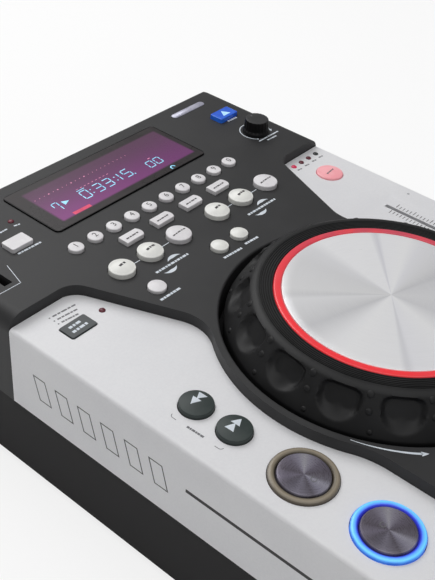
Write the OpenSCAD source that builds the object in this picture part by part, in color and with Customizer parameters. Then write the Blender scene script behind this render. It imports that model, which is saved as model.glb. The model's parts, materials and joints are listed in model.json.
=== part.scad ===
// Tabletop disc player with a jog wheel, a recessed display, press keys and a pitch fader.
// Millimetres. X runs to the right, Y to the rear and Z up. The origin is the middle of
// the footprint, on the surface that the rubber feet stand on.

/* [Body] */
// Overall width
body_w = 222; // [205:1:270]
// Overall depth
body_d = 290; // [270:1:350]
// Height of the rubber feet
foot_h = 4; // [2:0.5:8]
// Height of the lower tray above the feet
tray_h = 38; // [36:1:50]
// Height of the silver side panels above the tray
panel_h = 41; // [39:1:55]
// Step from the silver panels up to the black deck
lip_h = 5.4; // [3:0.1:8]
// Wall of the moulded shells
wall = 2.2; // [1.8:0.1:3]
// Radius of the upright corners
corner_r = 11; // [6:0.5:12]
// Radius of the silver panels' top edges and of the front and rear top edges
edge_r = 1.8; // [1:0.1:3]
// Radius of the black deck's top edges at its two sides
deck_edge_r = 8; // [3:0.1:9]
// Half width of the black deck at the front
neck_w = 66; // [65:0.5:70]
// Distance from the rear edge to the rear edge of the silver panels
rear_block = 79.3; // [76:0.1:84]

/* [Jog wheel] */
// Radius of the well in the deck
well_r = 71.5; // [71.2:0.1:74]
// Width of the black rim round the well
rim_w = 3.6; // [3:0.1:5]
// Distance of the jog axis behind the front edge
jog_y = 96.6; // [90:0.1:110]
// Radius of the rubber shoulder at its foot
shoulder_r = 69; // [66:0.5:70]
// Outer radius of the flat grooved ring
groove_r = 56.5; // [54:0.5:60]
// Outer radius of the lit ring
ring_r = 49.7; // [46:0.1:52]
// Radius of the spun metal disc
disc_r = 46.2; // [42:0.1:48]
// Height of the wheel's flat ring above the deck
jog_rise = 14.6; // [12:0.1:18]
// Radius of the jog shaft
jog_shaft_r = 3; // [2.5:0.5:4]

/* [Keys] */
// Diameter of a number key
number_d = 7.5; // [6:0.1:9]
// Spacing of the number keys
number_pitch = 12.15; // [11:0.05:12.5]
// Width of an oblong mode key
mode_w = 12.1; // [10:0.1:14]
// Depth of an oblong mode key
mode_d = 6.2; // [5:0.1:7.5]
// Diameter of a loop key
loop_d = 12.3; // [10:0.1:14]
// Diameter of a small round key
small_d = 8.6; // [7:0.1:10]
// Diameter of a search key
search_d = 14.3; // [12:0.1:17]
// Diameter of the tempo key
tempo_d = 14.2; // [12:0.1:17]
// Radius of the cue and play caps
start_r = 9.8; // [8:0.1:10.5]
// Outer radius of the lit rings round cue and play
start_ring_r = 13.7; // [12.5:0.1:14]
// Travel of every press key
key_travel = 1.2; // [0.8:0.1:1.4]
// Side clearance of every press key in its hole
key_gap = 0.35; // [0.3:0.05:0.5]

/* [Display] */
// Width of the display recess
display_w = 106.2; // [96:0.1:112]
// Depth of the display recess from front to back
display_d = 40; // [34:0.1:41]
// Radius of the recess's upright corners
display_r = 3; // [1:0.5:5]
// How far the window stands above the deck
display_rise = 0.7; // [0.3:0.1:1.2]

/* [Fader] */
// Travel of the pitch fader
fader_travel = 80; // [60:1:82]
// Width of the fader cap
fader_cap_w = 9; // [7:0.5:10]
// Length of the fader cap
fader_cap_l = 17; // [12:0.5:20]
// Depth of the fader pocket in the silver panel
pocket_depth = 1.8; // [1.4:0.1:3]

/* [Selector knob] */
// Diameter of the selector knob at its top
knob_d = 13.4; // [11:0.1:15]
// Height of the selector knob
knob_h = 7.8; // [6:0.1:11]

/* [Disc drive] */
// Height of the disc slot
slot_h = 5; // [4.5:0.1:6]
// Half width of the disc slot
slot_half = 61.2; // [60.8:0.1:61.5]
// Radius of the feed roller
roller_r = 5; // [4:0.25:5.5]
// Travel of the optical sled
sled_travel = 36; // [30:1:38]

/* [Rear panel] */
// Half width of the rear connector recess
recess_half = 80; // [78:1:92]
// Depth of the rear connector recess
recess_depth = 11; // [10.5:0.5:14]

/* [Card slot] */
// Width of the card slot
card_w = 4.4; // [4.3:0.1:5]
// Length of the card slot
card_l = 26; // [25:0.5:30]

/* [Hidden] */
$fn = 64;
eps = 0.01;
front = -body_d / 2;
rear = body_d / 2;
side = body_w / 2;
tray_z = foot_h + tray_h;
panel_z = tray_z + panel_h;
deck_z = panel_z + lip_h;
deck_t = 2.2;
panel_t = 2;
ledge_out = 1.2;
floor_z = foot_h + wall;
fit_gap = 0.3;
turn_gap = 0.05;
block_y = rear - rear_block;
jog_cy = front + jog_y;
rim_r = well_r + rim_w;
// Outline of the black deck, right half: the slanted waist, and its blend into the round rim
waist_top = [75.5, block_y];
waist_lean = 0.407;
waist_fillet = 11;
waist_blend = 20;
neck_blend = 40;
// Overlap that keeps two curves from only touching where they run into each other
blend_bite = 0.03;
waist_dir = [waist_lean, 1] / norm([waist_lean, 1]);
waist_normal = [1, -waist_lean] / norm([1, -waist_lean]);
blend_off = (waist_top - [0, jog_cy]) * waist_normal + waist_blend;
blend_out = rim_r + waist_blend;
blend_along = sqrt(blend_out * blend_out - blend_off * blend_off);
blend_at = [0, jog_cy] + blend_off * waist_normal + blend_along * waist_dir;
// The slot's flange fits between the neck's side walls
bezel_flange = 2.3;
neck_x = max(neck_w, slot_half + bezel_flange + fit_gap + wall);
neck_out = [neck_x + neck_blend, -sqrt(pow(rim_r + neck_blend, 2) - pow(neck_x + neck_blend, 2))];
// Keys: centres on the black deck, measured from the rear edge
number_x = -56.8;
number_y = rear - 63.1;
mode_x = -32.7;
mode_pitch = 20.8;
mode_y = rear - 75.1;
loop_left_x = [-53.8, -35.5, -16];
loop_right_x = [12, 30.3, 50.3];
loop_y = rear - 89.2;
loop_rise = 4;
loop_low_rise = 2.8;
small_rise = 2.8;
eject_rise = 2.4;
search_rise = 3;
// How much of a key's rise is its domed top
flat_dome = 0.3;
low_dome = 0.5;
small_dome = 1;
search_dome = 0.9;
loop_dome = 1.6;
tempo_rise = 1.2;
mode_key_rise = 0.6;
round_y = rear - 108.4;
reverse_x = -9.1;
brake_x = 5.3;
tap_x = -51.7;
key_rise = 1.9;
flange_w = 1.2;
flange_t = 1;
key_edge_r = 0.6;
block_r = 1;
eject_at = [side - 21, rear - 28.8];
eject_size = [14.5, 8.5];
source_at = [37.9 - side, rear - 42.1];
source_size = [12.3, 8.3];
knob_at = [side - 21.4, rear - 52.2];
knob_shaft_r = 3;
knob_lift = 0.6;
knob_gap = 1;
knob_skirt = 0.7;
encoder_w = 12;
encoder_floor = 0.6;
card_at = [15.7 - side, rear - 48.7];
card_depth = 24;
card_wall = 2;
// Keys on the silver panels, measured from the outer side and the front edge
left_x = 20.6 - side;
mode_key_at = [21.5 - side, block_y - 19.3];
mode_key_size = [14.2, 8.8];
search_y = [front + 125.1, front + 105.9];
cue_y = front + 73.5;
play_y = front + 37.2;
tempo_at = [side - 19.4, block_y - 22.5];
start_rise = 1.6;
start_ring_rise = 1.4;
start_drop = 1;
led_d = 3;
led_rise = 0.8;
led_x = side - 28.3;
led_pitch = 6.67;
led_y = block_y - 5.3;
mode_led_at = [36.2 - side, block_y - 18.6];
source_led_at = [47.6 - side, rear - 26.2];
// Boards under the keys
board_t = 1.6;
switch_h = 1.9;
switch_w = 5;
switch_gap = 0.2;
key_drop = fit_gap + flange_t + key_travel + switch_gap + switch_h;
deck_board_z = deck_z - deck_t - key_drop;
panel_board_z = panel_z - panel_t - key_drop;
// Display
display_cx = -1.6;
display_cy = rear - 28.8;
display_lap = 2.6;
window_t = 1.4;
window_gap = 0.15;
window_z = deck_z + display_rise;
window_low = deck_z - deck_t - window_t;
module_size = [97, 33, 4.1];
// Fader
fader_x = side - 21.4;
fader_mid = front + 106.1;
fader_slot_w = 2.4;
stem_t = 1.6;
stem_l = 6;
slot_end = 2;
fader_slot_l = fader_travel + stem_l + 2 * slot_end;
pocket_end = 2.4;
pocket_l = fader_slot_l + 2 * pocket_end;
pocket_left = 7.3;
pocket_right = 9;
pocket_slope = 4;
pocket_floor = 1.6;
fader_box_h = 12;
fader_box_w = 12;
fader_box_wall = 1.4;
slider = [8.4, 10, 5.6];
cap_lift = 1;
cap_h = 9;
cap_draft = 1.5;
cap_hollow_r = 11;
cap_hollow = 2;
// Jog wheel
jog_top = deck_z + jog_rise;
shoulder_z = deck_z - 1.6;
shoulder_top = [groove_r + 2.9, jog_top - 1.4];
jog_wall = 2.8;
plate_z = jog_top - 5;
plate_t = 3;
well_floor = deck_z - 16.4;
well_floor_t = 2;
bearing_hole_r = 12;
bearing_lip_r = 16;
skirt_z = well_floor + 4;
shoulder_inner_r = shoulder_top[0] - jog_wall - 0.2 + (shoulder_r - shoulder_top[0])
    * (shoulder_top[1] - plate_z + plate_t) / (shoulder_top[1] - shoulder_z);
thrust_r = 8;
disc_crown = 0.5;
disc_edge_z = jog_top - 0.1;
bearing_depth = 10;
// Disc drive
slot_z = tray_z + 15.5;
bezel_side = 1.55;
bezel_rim = 3.25;
bezel_l = 6;
bezel_flange_t = 1.8;
bezel_lap = 1.25;
mouth_gap = 0.25;
drive_y = front + 85;
chassis_t = 2;
rail_t = 1.6;
rail_in = slot_half + 0.6;
chassis_front = front + 15;
plate_front = front + 28;
chassis_rear = drive_y + 80;
rail_rear = drive_y + 45;
tongue_half = 30;
chassis_z = slot_z - 13.5;
roller_y = front + 21;
roller_z = slot_z - 2.5 - roller_r;
roller_half = slot_half - 3.2;
roller_shaft_r = 2;
motor_r = 12;
motor_h = 16;
spindle_r = 1.5;
hub_r = 12;
boss_r = 7.4;
hub_z = chassis_z + chassis_t + 3;
hub_top = slot_z - slot_h / 2 - 0.3;
rod_r = 1.5;
rod_x = 18;
rod_z = chassis_z - 4;
rod_front = drive_y + 10;
rod_rear = rod_front + sled_travel + 30;
lug_t = 3;
sled_l = 20;
sled_front = rod_front + 4;
// Rear panel and its fittings
plate_y = rear - recess_depth;
sheet_t = 1.6;
recess_z = [floor_z + 2.8, tray_z - 3];
fitting_z = (recess_z[0] + recess_z[1]) / 2;
socket_x = [-62, -48, -30];
jack_x = [-12, -2];
socket_r = 4.15;
socket_l = 8;
socket_body = [10, 12, 12];
socket_bore_r = 1.7;
rear_gap = 0.5;
jack_r = 3;
jack_body = [7.2, 12, 10];
jack_bore_r = 1.8;
inlet_x = 58;
inlet_size = [28, 20];
inlet_depth = 22;
inlet_wall = 2;
inlet_floor = 4;
inlet_lip = 3;
inlet_lip_t = 2;
blade = [5, 2, 12];
blade_x = [-7, 0, 7];
blade_z = [-1, 2, -1];
switch_x = 22;
rocker_size = [19, 11.2];
rocker_tilt = 8;
rocker_axle_r = 1.5;
rocker_gap = 1.1;
rocker_in = 4;
housing_side = 1.3;
housing_top = 2;
housing_lip = 3;
housing_depth = 13;
// Screws and posts
screw_r = 1.5;
screw_hole_r = 1.7;
screw_head_r = 3;
screw_head_h = 2;
screw_l = 50;
post_r = 4;
deck_posts = [[side - 11, rear - 12], [11 - side, rear - 12], [50, block_y - 40.7], [-50, block_y - 40.7]];
panel_posts = [[side - 11, front + 12], [11 - side, front + 12]];
chassis_posts = [
    [55, plate_front + 12], [-55, plate_front + 12], [55, rail_rear - 12], [-55, rail_rear - 12]
];
foot_r = 9;
foot_in = [21, 20];
// Boards in the tray: [x0, y0, x1, y1]
tray_board_z = floor_z + 3.8;
main_board = [13 - side, rear - 100, 8, rear - 20];
supply_board = [22, rear - 83, side - 13, rear - 35];
board_in = 4;
// Parts on the main board: [x, y, width, depth, height]
main_parts = [[20, 22, 24, 24, 3], [62, 30, 18, 14, 2.5], [60, 56, 28, 10, 2.2], [16, 60, 14, 12, 9]];
transformer = [32, 28, 24];
heat_sink = [4, 34, 22];
can_r = 6;
can_h = 20;
board_post_r = 3;
// Boards under the deck and the panels: [x0, y0, x1, y1]
key_board = [-62, rear - 97, 62, rear - 53];
key_board_front = [-57, rear - 111.6, 57, rear - 97];
source_board = [25 - side, rear - 50, -58.5, rear - 21];
eject_board = [side - 51, rear - 65, side - 5, rear - 17];
left_board = [5 - side, front + 21, -79 - (side - 111), block_y - 6];
right_board = [side - 31, tempo_at[1] - 21, side - 6, tempo_at[1] + 12];
left_board_posts = [[left_x, block_y - 34], [left_x, block_y - 66], [left_x, (cue_y + play_y) / 2]];
right_board_posts = [[tempo_at[0], tempo_at[1] - 16]];
deck_board_posts = [
    [-56, number_y + 8], [56, number_y + 8], [0, (mode_y + number_y) / 2 - 0.4],
    [24, round_y], [-30, round_y],
    [source_board[0] + 4, source_board[3] - 4], [eject_board[0] + 4, eject_board[3] - 4],
    [eject_board[0] + 4, eject_board[1] + 4]
];
board_post_small = 1.6;

// ---- outlines ----

// Rectangle with four round corners, from one corner to the other
module round_rect(low, high, r) {
    translate([low[0] + r, low[1]])
        square([high[0] - low[0] - 2 * r, high[1] - low[1]]);
    translate([low[0], low[1] + r])
        square([high[0] - low[0], high[1] - low[1] - 2 * r]);
    for (x = [low[0] + r, high[0] - r])
        for (y = [low[1] + r, high[1] - r])
            translate([x, y])
                circle(r);
}

// Outline of the black deck, grown outwards by g, up to its straight outer sides
module deck_outline(g = 0) {
    translate([-side - g, block_y - g])
        square([body_w + 2 * g, rear_block + 2 * g]);
    for (s = [-1, 1])
        scale([s, 1]) {
            waist_half(g);
            waist_corner(g);
            neck_half(g);
        }
    translate([0, jog_cy])
        circle(rim_r + g, $fn = 128);
    translate([-neck_x - g, front - g])
        square([2 * (neck_x + g), jog_cy - front]);
}

// How far the slanted waist moves sideways when the outline grows by g
function waist_shift(g) = g * norm([1, waist_lean]);

// Right half of the waist, which runs into the round rim with a hollow blend
module waist_half(g) {
    r = waist_blend - g;
    to_rim = (blend_at - [0, jog_cy]) / blend_out;
    edge_x = waist_top[0] + waist_shift(g);
    difference() {
        polygon([
            [-1, waist_top[1] + wall], [edge_x, waist_top[1] + wall], [edge_x, waist_top[1]],
            blend_at - r * waist_normal, blend_at, [0, jog_cy] + (rim_r + g) * to_rim, [-1, jog_cy]
        ]);
        translate(blend_at)
            circle(r + blend_bite);
    }
}

// Right half of the hollow blend from the round rim into the straight side of the neck
module neck_half(g) {
    at = [0, jog_cy] + neck_out;
    to_rim = neck_out / (rim_r + neck_blend);
    difference() {
        polygon([
            [0, jog_cy], [0, jog_cy] + (rim_r + g) * to_rim, at, [neck_x + g, at[1]], [0, at[1]]
        ]);
        translate(at)
            circle(neck_blend - g + blend_bite);
    }
}

// Fills the inner corner where the slanted waist meets the rear block with a round
module waist_corner(g) {
    r = waist_fillet - g;
    slant = atan2(1, waist_lean);
    reach = r * tan(slant / 2);
    corner = [waist_top[0] + waist_shift(g), waist_top[1] - g];
    difference() {
        polygon([
            corner + [-1, 1], corner + [-1, 0] - reach * [cos(slant), sin(slant)],
            corner - reach * [cos(slant), sin(slant)], corner + [reach, 0], corner + [reach, 1]
        ]);
        translate([corner[0] + reach, corner[1] - r])
            circle(r + blend_bite);
    }
}

// Outer shape of the upper body up to a height, drawn in by g on every side but the base
module envelope(top, g = 0, side_edge_r = edge_r) {
    r = max(corner_r - g, 1);
    e = max(edge_r - g, 1);
    side_e = max(side_edge_r - g, 1);
    intersection() {
        translate([0, 0, tray_z])
            linear_extrude(top - g - tray_z)
                round_rect([g - side, front + g], [side - g, rear - g], r);
        translate([0, rear, 0])
            rotate([90, 0, 0])
                linear_extrude(body_d)
                    round_rect([g - side, -top], [side - g, top - g], side_e);
        translate([-side, 0, 0])
            rotate([90, 0, 90])
                linear_extrude(body_w)
                    round_rect([front + g, -top], [rear - g, top - g], e);
    }
}

// Upright cut through a skin of thickness t whose top is at z, in the outline of its 2D children
module through(z, t) {
    translate([0, 0, z - t - 1])
        linear_extrude(t + 2)
            children();
}

// ---- key outlines ----

module oblong(size, g = 0) {
    translate([-size[0] / 2 - g, -size[1] / 2 - g])
        square([size[0] - size[1] / 4 + g, size[1] + 2 * g]);
    intersection() {
        translate([size[0] / 2 - size[1] * 0.75, 0])
            circle(size[1] * 0.75 + g);
        translate([-size[0] / 2, -size[1] / 2 - g])
            square([size[0] + g, size[1] + 2 * g]);
    }
}

module block(size, g = 0) {
    round_rect([-size[0] / 2 - g, -size[1] / 2 - g], [size[0] / 2 + g, size[1] / 2 + g], block_r + g);
}

// A round cap with a small edge round and a domed top, on a flange under the surface
module round_key(at, d, z, t, rise, dome = flat_dome) {
    r = d / 2;
    low = z - t - fit_gap - flange_t;
    edge = key_edge_r;
    translate([at[0], at[1], 0])
        rotate_extrude()
            polygon(concat(
                [[0, low], [r + flange_w, low], [r + flange_w, low + flange_t], [r, low + flange_t]],
                [for (i = [0:6])
                    let (a = 90 * i / 6)
                    [r - edge + edge * cos(a), z + rise - dome - edge + edge * sin(a)]],
                [for (i = [1:6])
                    let (k = 1 - i / 6)
                    [(r - edge) * k, z + rise - dome * k * k]]
            ));
}

// A flat key on a flange under the surface, with an oblong or a block for its outline
module flat_key(at, size, z, t, rise, is_oblong) {
    low = z - t - fit_gap - flange_t;
    translate([at[0], at[1], low])
        linear_extrude(flange_t)
            if (is_oblong) oblong(size, flange_w); else block(size, flange_w);
    translate([at[0], at[1], low])
        linear_extrude(z + rise - low)
            if (is_oblong) oblong(size); else block(size);
}

// Where each key stands
function number_at(i) = [number_x + number_pitch * i, number_y];
function mode_at(i) = [mode_x + mode_pitch * i, mode_y];
function loop_at(i) = [i < 3 ? loop_left_x[i] : loop_right_x[i - 3], loop_y];
deck_rounds = concat(
    [for (i = [0:9]) [number_at(i), number_d]],
    [for (i = [0:5]) [loop_at(i), loop_d]],
    [for (x = [reverse_x, brake_x, tap_x]) [[x, round_y], small_d]]
);

module deck_key_holes() {
    for (k = deck_rounds)
        translate(k[0])
            circle(k[1] / 2 + key_gap);
    for (i = [0:3])
        translate(mode_at(i))
            oblong([mode_w, mode_d], key_gap);
    translate(eject_at)
        block(eject_size, key_gap);
    translate(source_at)
        block(source_size, key_gap);
    translate(knob_at)
        circle(knob_shaft_r + knob_gap);
    translate(source_led_at)
        circle(led_d / 2 + turn_gap);
    translate(card_at)
        square([card_w, card_l], center = true);
}

// ---- shells ----

module base_tray() {
    color([0.16, 0.16, 0.16])
    difference() {
        union() {
            difference() {
                translate([0, 0, foot_h])
                    linear_extrude(tray_h)
                        round_rect([-side, front], [side, rear], corner_r);
                translate([0, 0, floor_z])
                    linear_extrude(tray_h)
                        round_rect([wall - side, front + wall], [side - wall, rear - wall], corner_r - wall);
            }
            // cheeks of the rear recess
            translate([-recess_half - wall, plate_y, recess_z[0] - wall])
                cube([2 * (recess_half + wall), recess_depth, recess_z[1] - recess_z[0] + 2 * wall]);
            for (p = concat(deck_posts, panel_posts))
                translate([p[0], p[1], foot_h])
                    cylinder(r = post_r, h = tray_h);
            for (p = chassis_posts)
                translate([p[0], p[1], foot_h + 1])
                    cylinder(r = post_r, h = chassis_z - foot_h - 1);
            for (b = [main_board, supply_board])
                for (x = [b[0] + board_in, b[2] - board_in])
                    for (y = [b[1] + board_in, b[3] - board_in])
                        translate([x, y, foot_h + 1])
                            cylinder(r = board_post_r, h = tray_board_z - foot_h - 1);
        }
        translate([-recess_half, plate_y - 1, recess_z[0]])
            cube([2 * recess_half, recess_depth + 2, recess_z[1] - recess_z[0]]);
        for (p = concat(deck_posts, panel_posts))
            translate([p[0], p[1], foot_h]) {
                translate([0, 0, -1])
                    cylinder(r = screw_hole_r, h = tray_h + 2);
                translate([0, 0, -1])
                    cylinder(r = screw_head_r + fit_gap, h = screw_head_h + 1);
            }
    }
}

module top_housing() {
    color([0.24, 0.24, 0.25])
    difference() {
        union() {
            difference() {
                intersection() {
                    envelope(deck_z, 0, deck_edge_r);
                    translate([0, 0, tray_z])
                        linear_extrude(deck_z)
                            deck_outline();
                }
                intersection() {
                    translate([0, 0, -1])
                        envelope(deck_z - deck_t + 1 + wall, wall, deck_edge_r);
                    translate([0, 0, tray_z - 1])
                        linear_extrude(deck_z)
                            deck_outline(-wall);
                }
                translate([0, jog_cy, tray_z + 1])
                    cylinder(r = well_r, h = deck_z, $fn = 128);
            }
            // ledge that carries the silver panels
            intersection() {
                translate([0, 0, panel_z - 2 * panel_t])
                    linear_extrude(panel_t)
                        difference() {
                            deck_outline(ledge_out);
                            deck_outline(-wall / 2);
                        }
                envelope(panel_z, wall + fit_gap);
            }
            // jog well
            translate([0, jog_cy, well_floor - well_floor_t])
                difference() {
                    cylinder(r = well_r + wall, h = deck_z - 1 - well_floor + well_floor_t, $fn = 128);
                    translate([0, 0, well_floor_t])
                        cylinder(r = well_r, h = deck_z, $fn = 128);
                    translate([0, 0, -1])
                        cylinder(r = bearing_hole_r, h = 9);
                }
            for (p = deck_posts)
                translate([p[0], p[1], tray_z])
                    cylinder(r = post_r, h = deck_z - 1 - tray_z);
            for (p = deck_board_posts)
                translate([p[0], p[1], deck_board_z])
                    cylinder(r = board_post_small, h = deck_z - 1 - deck_board_z);
        }
        for (p = deck_posts)
            translate([p[0], p[1], tray_z - 1])
                cylinder(r = screw_r + turn_gap, h = foot_h + screw_l - tray_z + 3);
        through(deck_z, deck_t)
            deck_key_holes();
        through(deck_z, deck_t)
            display_outline();
        // mouth of the disc slot
        translate([
            -slot_half - bezel_side - mouth_gap, front - 1,
            slot_z - slot_h / 2 - bezel_rim - mouth_gap
        ])
            cube([
                2 * (slot_half + bezel_side + mouth_gap), wall + 2,
                slot_h + 2 * (bezel_rim + mouth_gap)
            ]);
    }
}

// One silver panel; s is -1 on the left and 1 on the right
module panel_shell(s) {
    difference() {
        intersection() {
            difference() {
                envelope(panel_z);
                intersection() {
                    translate([0, 0, -1])
                        envelope(panel_z - panel_t + 1 + wall, wall);
                    translate([-side, front, 0])
                        cube([body_w, body_d, panel_z - panel_t]);
                }
                translate([0, 0, tray_z - 1])
                    linear_extrude(2)
                        round_rect([wall - side, front + wall], [side - wall, rear - wall], 2);
            }
            translate([s > 0 ? 0 : -side, front, tray_z])
                cube([side, body_d - rear_block - fit_gap, panel_h]);
        }
        translate([0, 0, tray_z - 1])
            linear_extrude(panel_h + 2)
                deck_outline(fit_gap / 3);
    }
}

module left_panel() {
    color([0.82, 0.82, 0.83])
    difference() {
        union() {
            panel_shell(-1);
            panel_post(panel_posts[1]);
            for (p = left_board_posts)
                translate([p[0], p[1], panel_board_z])
                    cylinder(r = board_post_small, h = panel_z - 1 - panel_board_z);
        }
        panel_screw(panel_posts[1]);
        through(panel_z, panel_t) {
            for (y = search_y)
                translate([left_x, y])
                    circle(search_d / 2 + key_gap);
            for (y = [cue_y, play_y])
                translate([left_x, y])
                    circle(start_ring_r + turn_gap);
            translate(mode_key_at)
                block(mode_key_size, key_gap);
            translate(mode_led_at)
                circle(led_d / 2 + turn_gap);
        }
    }
}

module panel_post(p) {
    translate([p[0], p[1], tray_z])
        cylinder(r = post_r, h = panel_z - 1 - tray_z);
}

module panel_screw(p) {
    translate([p[0], p[1], tray_z - 1])
        cylinder(r = screw_r + turn_gap, h = foot_h + screw_l - tray_z + 3);
}

// Space of the fader pocket above a height, with a slanted right and rear wall
module pocket_cut() {
    y0 = fader_mid - pocket_l / 2;
    intersection() {
        translate([0, fader_mid + pocket_l / 2 + pocket_slope, 0])
            rotate([90, 0, 0])
                linear_extrude(pocket_l + 2 * pocket_slope)
                    polygon([
                        [fader_x - pocket_left, panel_z - pocket_depth],
                        [fader_x + pocket_right, panel_z - pocket_depth],
                        [fader_x + pocket_right + 2 * pocket_slope, panel_z + pocket_depth],
                        [fader_x - pocket_left, panel_z + pocket_depth]
                    ]);
        translate([fader_x - 30, 0, 0])
            rotate([90, 0, 90])
                linear_extrude(60)
                    polygon([
                        [y0, panel_z - pocket_depth], [y0 + pocket_l, panel_z - pocket_depth],
                        [y0 + pocket_l + 2 * pocket_slope, panel_z + pocket_depth],
                        [y0 - pocket_slope, panel_z + pocket_depth]
                    ]);
    }
}

module right_panel() {
    color([0.82, 0.82, 0.83])
    difference() {
        union() {
            panel_shell(1);
            panel_post(panel_posts[0]);
            for (p = right_board_posts)
                translate([p[0], p[1], panel_board_z])
                    cylinder(r = board_post_small, h = panel_z - 1 - panel_board_z);
            // floor under the fader pocket
            translate([
                fader_x - pocket_left - 1, fader_mid - pocket_l / 2 - 1,
                panel_z - pocket_depth - pocket_floor
            ])
                cube([pocket_left + pocket_right + 4, pocket_l + 4, pocket_depth]);
        }
        panel_screw(panel_posts[0]);
        pocket_cut();
        translate([fader_x - fader_slot_w / 2, fader_mid - fader_slot_l / 2, panel_z - 10])
            cube([fader_slot_w, fader_slot_l, 12]);
        through(panel_z, panel_t) {
            translate(tempo_at)
                circle(tempo_d / 2 + key_gap);
            for (i = [0:3])
                translate([led_x + led_pitch * i, led_y])
                    circle(led_d / 2 + turn_gap);
        }
    }
}

module slot_bezel() {
    color([0.12, 0.12, 0.12])
    difference() {
        union() {
            translate([-slot_half - bezel_side, front, slot_z - slot_h / 2 - bezel_rim])
                cube([2 * (slot_half + bezel_side), bezel_l, slot_h + 2 * bezel_rim]);
            translate([-slot_half - bezel_flange, front + wall, slot_z - slot_h / 2 - bezel_rim - bezel_lap])
                cube([2 * (slot_half + bezel_flange), bezel_flange_t, slot_h + 2 * (bezel_rim + bezel_lap)]);
        }
        translate([-slot_half, front - 1, slot_z - slot_h / 2])
            cube([2 * slot_half, bezel_l + 3, slot_h]);
    }
}

// Outline of the display recess, grown outwards by g
module display_outline(g = 0) {
    translate([display_cx, display_cy])
        round_rect(
            [-display_w / 2 - g, -display_d / 2 - g],
            [display_w / 2 + g, display_d / 2 + g],
            display_r + g
        );
}

// A lens in the deck's opening, on a flange that lies against the underside of the deck
module display_window() {
    color([0.35, 0.22, 0.34, 0.6])
    union() {
        translate([0, 0, window_low])
            linear_extrude(window_t)
                display_outline(display_lap);
        translate([0, 0, window_low])
            linear_extrude(window_z - window_low)
                display_outline(-window_gap);
    }
}

// ---- rear fittings ----

module rear_panel() {
    color([0.2, 0.2, 0.2])
    difference() {
        translate([-recess_half - wall, plate_y - sheet_t, recess_z[0] - wall])
            cube([2 * (recess_half + wall), sheet_t, recess_z[1] - recess_z[0] + 2 * wall]);
        for (x = socket_x)
            rear_hole(x, socket_r + rear_gap);
        for (x = jack_x)
            rear_hole(x, jack_r + 0.1);
        translate([inlet_x, plate_y, fitting_z])
            cube([inlet_size[0] + 2 * fit_gap, 8, inlet_size[1] + 2 * fit_gap], center = true);
        translate([switch_x, plate_y, fitting_z])
            cube([rocker_size[0] + 2 * (housing_side + 0.2), 8, rocker_size[1] + 2 * (housing_top + fit_gap)],
                 center = true);
    }
}

module rear_hole(x, r) {
    translate([x, plate_y + 2, fitting_z])
        rotate([90, 0, 0])
            cylinder(r = r, h = 6);
}

module rear_sockets() {
    color([0.75, 0.7, 0.5]) {
        for (x = socket_x)
            translate([x, plate_y, fitting_z])
                difference() {
                    union() {
                        rotate([-90, 0, 0])
                            cylinder(r = socket_r, h = socket_l);
                        translate([-socket_body[0] / 2, -sheet_t - socket_body[1], -socket_body[2] / 2])
                            cube(socket_body);
                        rotate([90, 0, 0])
                            cylinder(r = socket_r, h = sheet_t + 1);
                    }
                    translate([0, 1, 0])
                        rotate([-90, 0, 0])
                            cylinder(r = socket_bore_r, h = socket_l);
                }
        for (x = jack_x)
            translate([x, plate_y, fitting_z])
                difference() {
                    union() {
                        translate([0, 1, 0])
                            rotate([90, 0, 0])
                                cylinder(r = jack_r, h = sheet_t + 2);
                        translate([-jack_body[0] / 2, -sheet_t - jack_body[1], -jack_body[2] / 2])
                            cube(jack_body);
                    }
                    translate([0, -9, 0])
                        rotate([-90, 0, 0])
                            cylinder(r = jack_bore_r, h = jack_body[1]);
                }
    }
}

module mains_inlet() {
    w = inlet_size[0];
    h = inlet_size[1];
    color([0.1, 0.1, 0.1])
    translate([inlet_x, plate_y, fitting_z]) {
        difference() {
            union() {
                translate([-w / 2, -inlet_depth, -h / 2])
                    cube([w, inlet_depth + inlet_lip_t, h]);
                translate([-w / 2 - inlet_lip, 0, -h / 2 - inlet_lip])
                    cube([w + 2 * inlet_lip, inlet_lip_t, h + 2 * inlet_lip]);
            }
            translate([-w / 2 + inlet_wall, inlet_floor - inlet_depth, -h / 2 + inlet_wall])
                cube([w - 2 * inlet_wall, inlet_depth, h - 2 * inlet_wall]);
        }
        for (i = [0:2])
            translate([blade_x[i] - blade[1] / 2, inlet_floor - inlet_depth - eps, blade_z[i] - blade[0] / 2])
                cube([blade[1], blade[2] + eps, blade[0]]);
    }
}

module switch_housing() {
    w = rocker_size[0];
    h = rocker_size[1];
    color([0.1, 0.1, 0.1])
    translate([switch_x, plate_y, fitting_z])
        difference() {
            union() {
                translate([-w / 2 - housing_side, -housing_depth, -h / 2 - housing_top])
                    cube([w + 2 * housing_side, housing_depth, h + 2 * housing_top]);
                translate([-w / 2 - housing_lip, 0, -h / 2 - housing_lip - 0.5])
                    cube([w + 2 * housing_lip, 1.2, h + 2 * housing_lip + 1]);
            }
            translate([-w / 2 - 0.2, 2 - housing_depth, -h / 2 - rocker_gap])
                cube([w + 0.4, housing_depth + 1, h + 2 * rocker_gap]);
            translate([-w / 2 - housing_side - 1, -rocker_in, 0])
                rotate([0, 90, 0])
                    cylinder(r = rocker_axle_r + turn_gap, h = w + 2 * (housing_side + 1));
        }
}

module power_switch() {
    w = rocker_size[0];
    h = rocker_size[1] / 2;
    color([0.08, 0.08, 0.08])
    translate([switch_x, plate_y - rocker_in, fitting_z])
        rotate([rocker_tilt, 0, 0]) {
            translate([-w / 2, 0, 0])
                rotate([90, 0, 90])
                    linear_extrude(w)
                        polygon([[2.5, -h], [5.5, -h], [4.3, 0], [5.5, h], [2.5, h], [-4, 3], [-4, -3]]);
            translate([-w / 2 - 1.2, 0, 0])
                rotate([0, 90, 0])
                    cylinder(r = rocker_axle_r, h = w + 2.4);
        }
}

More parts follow.
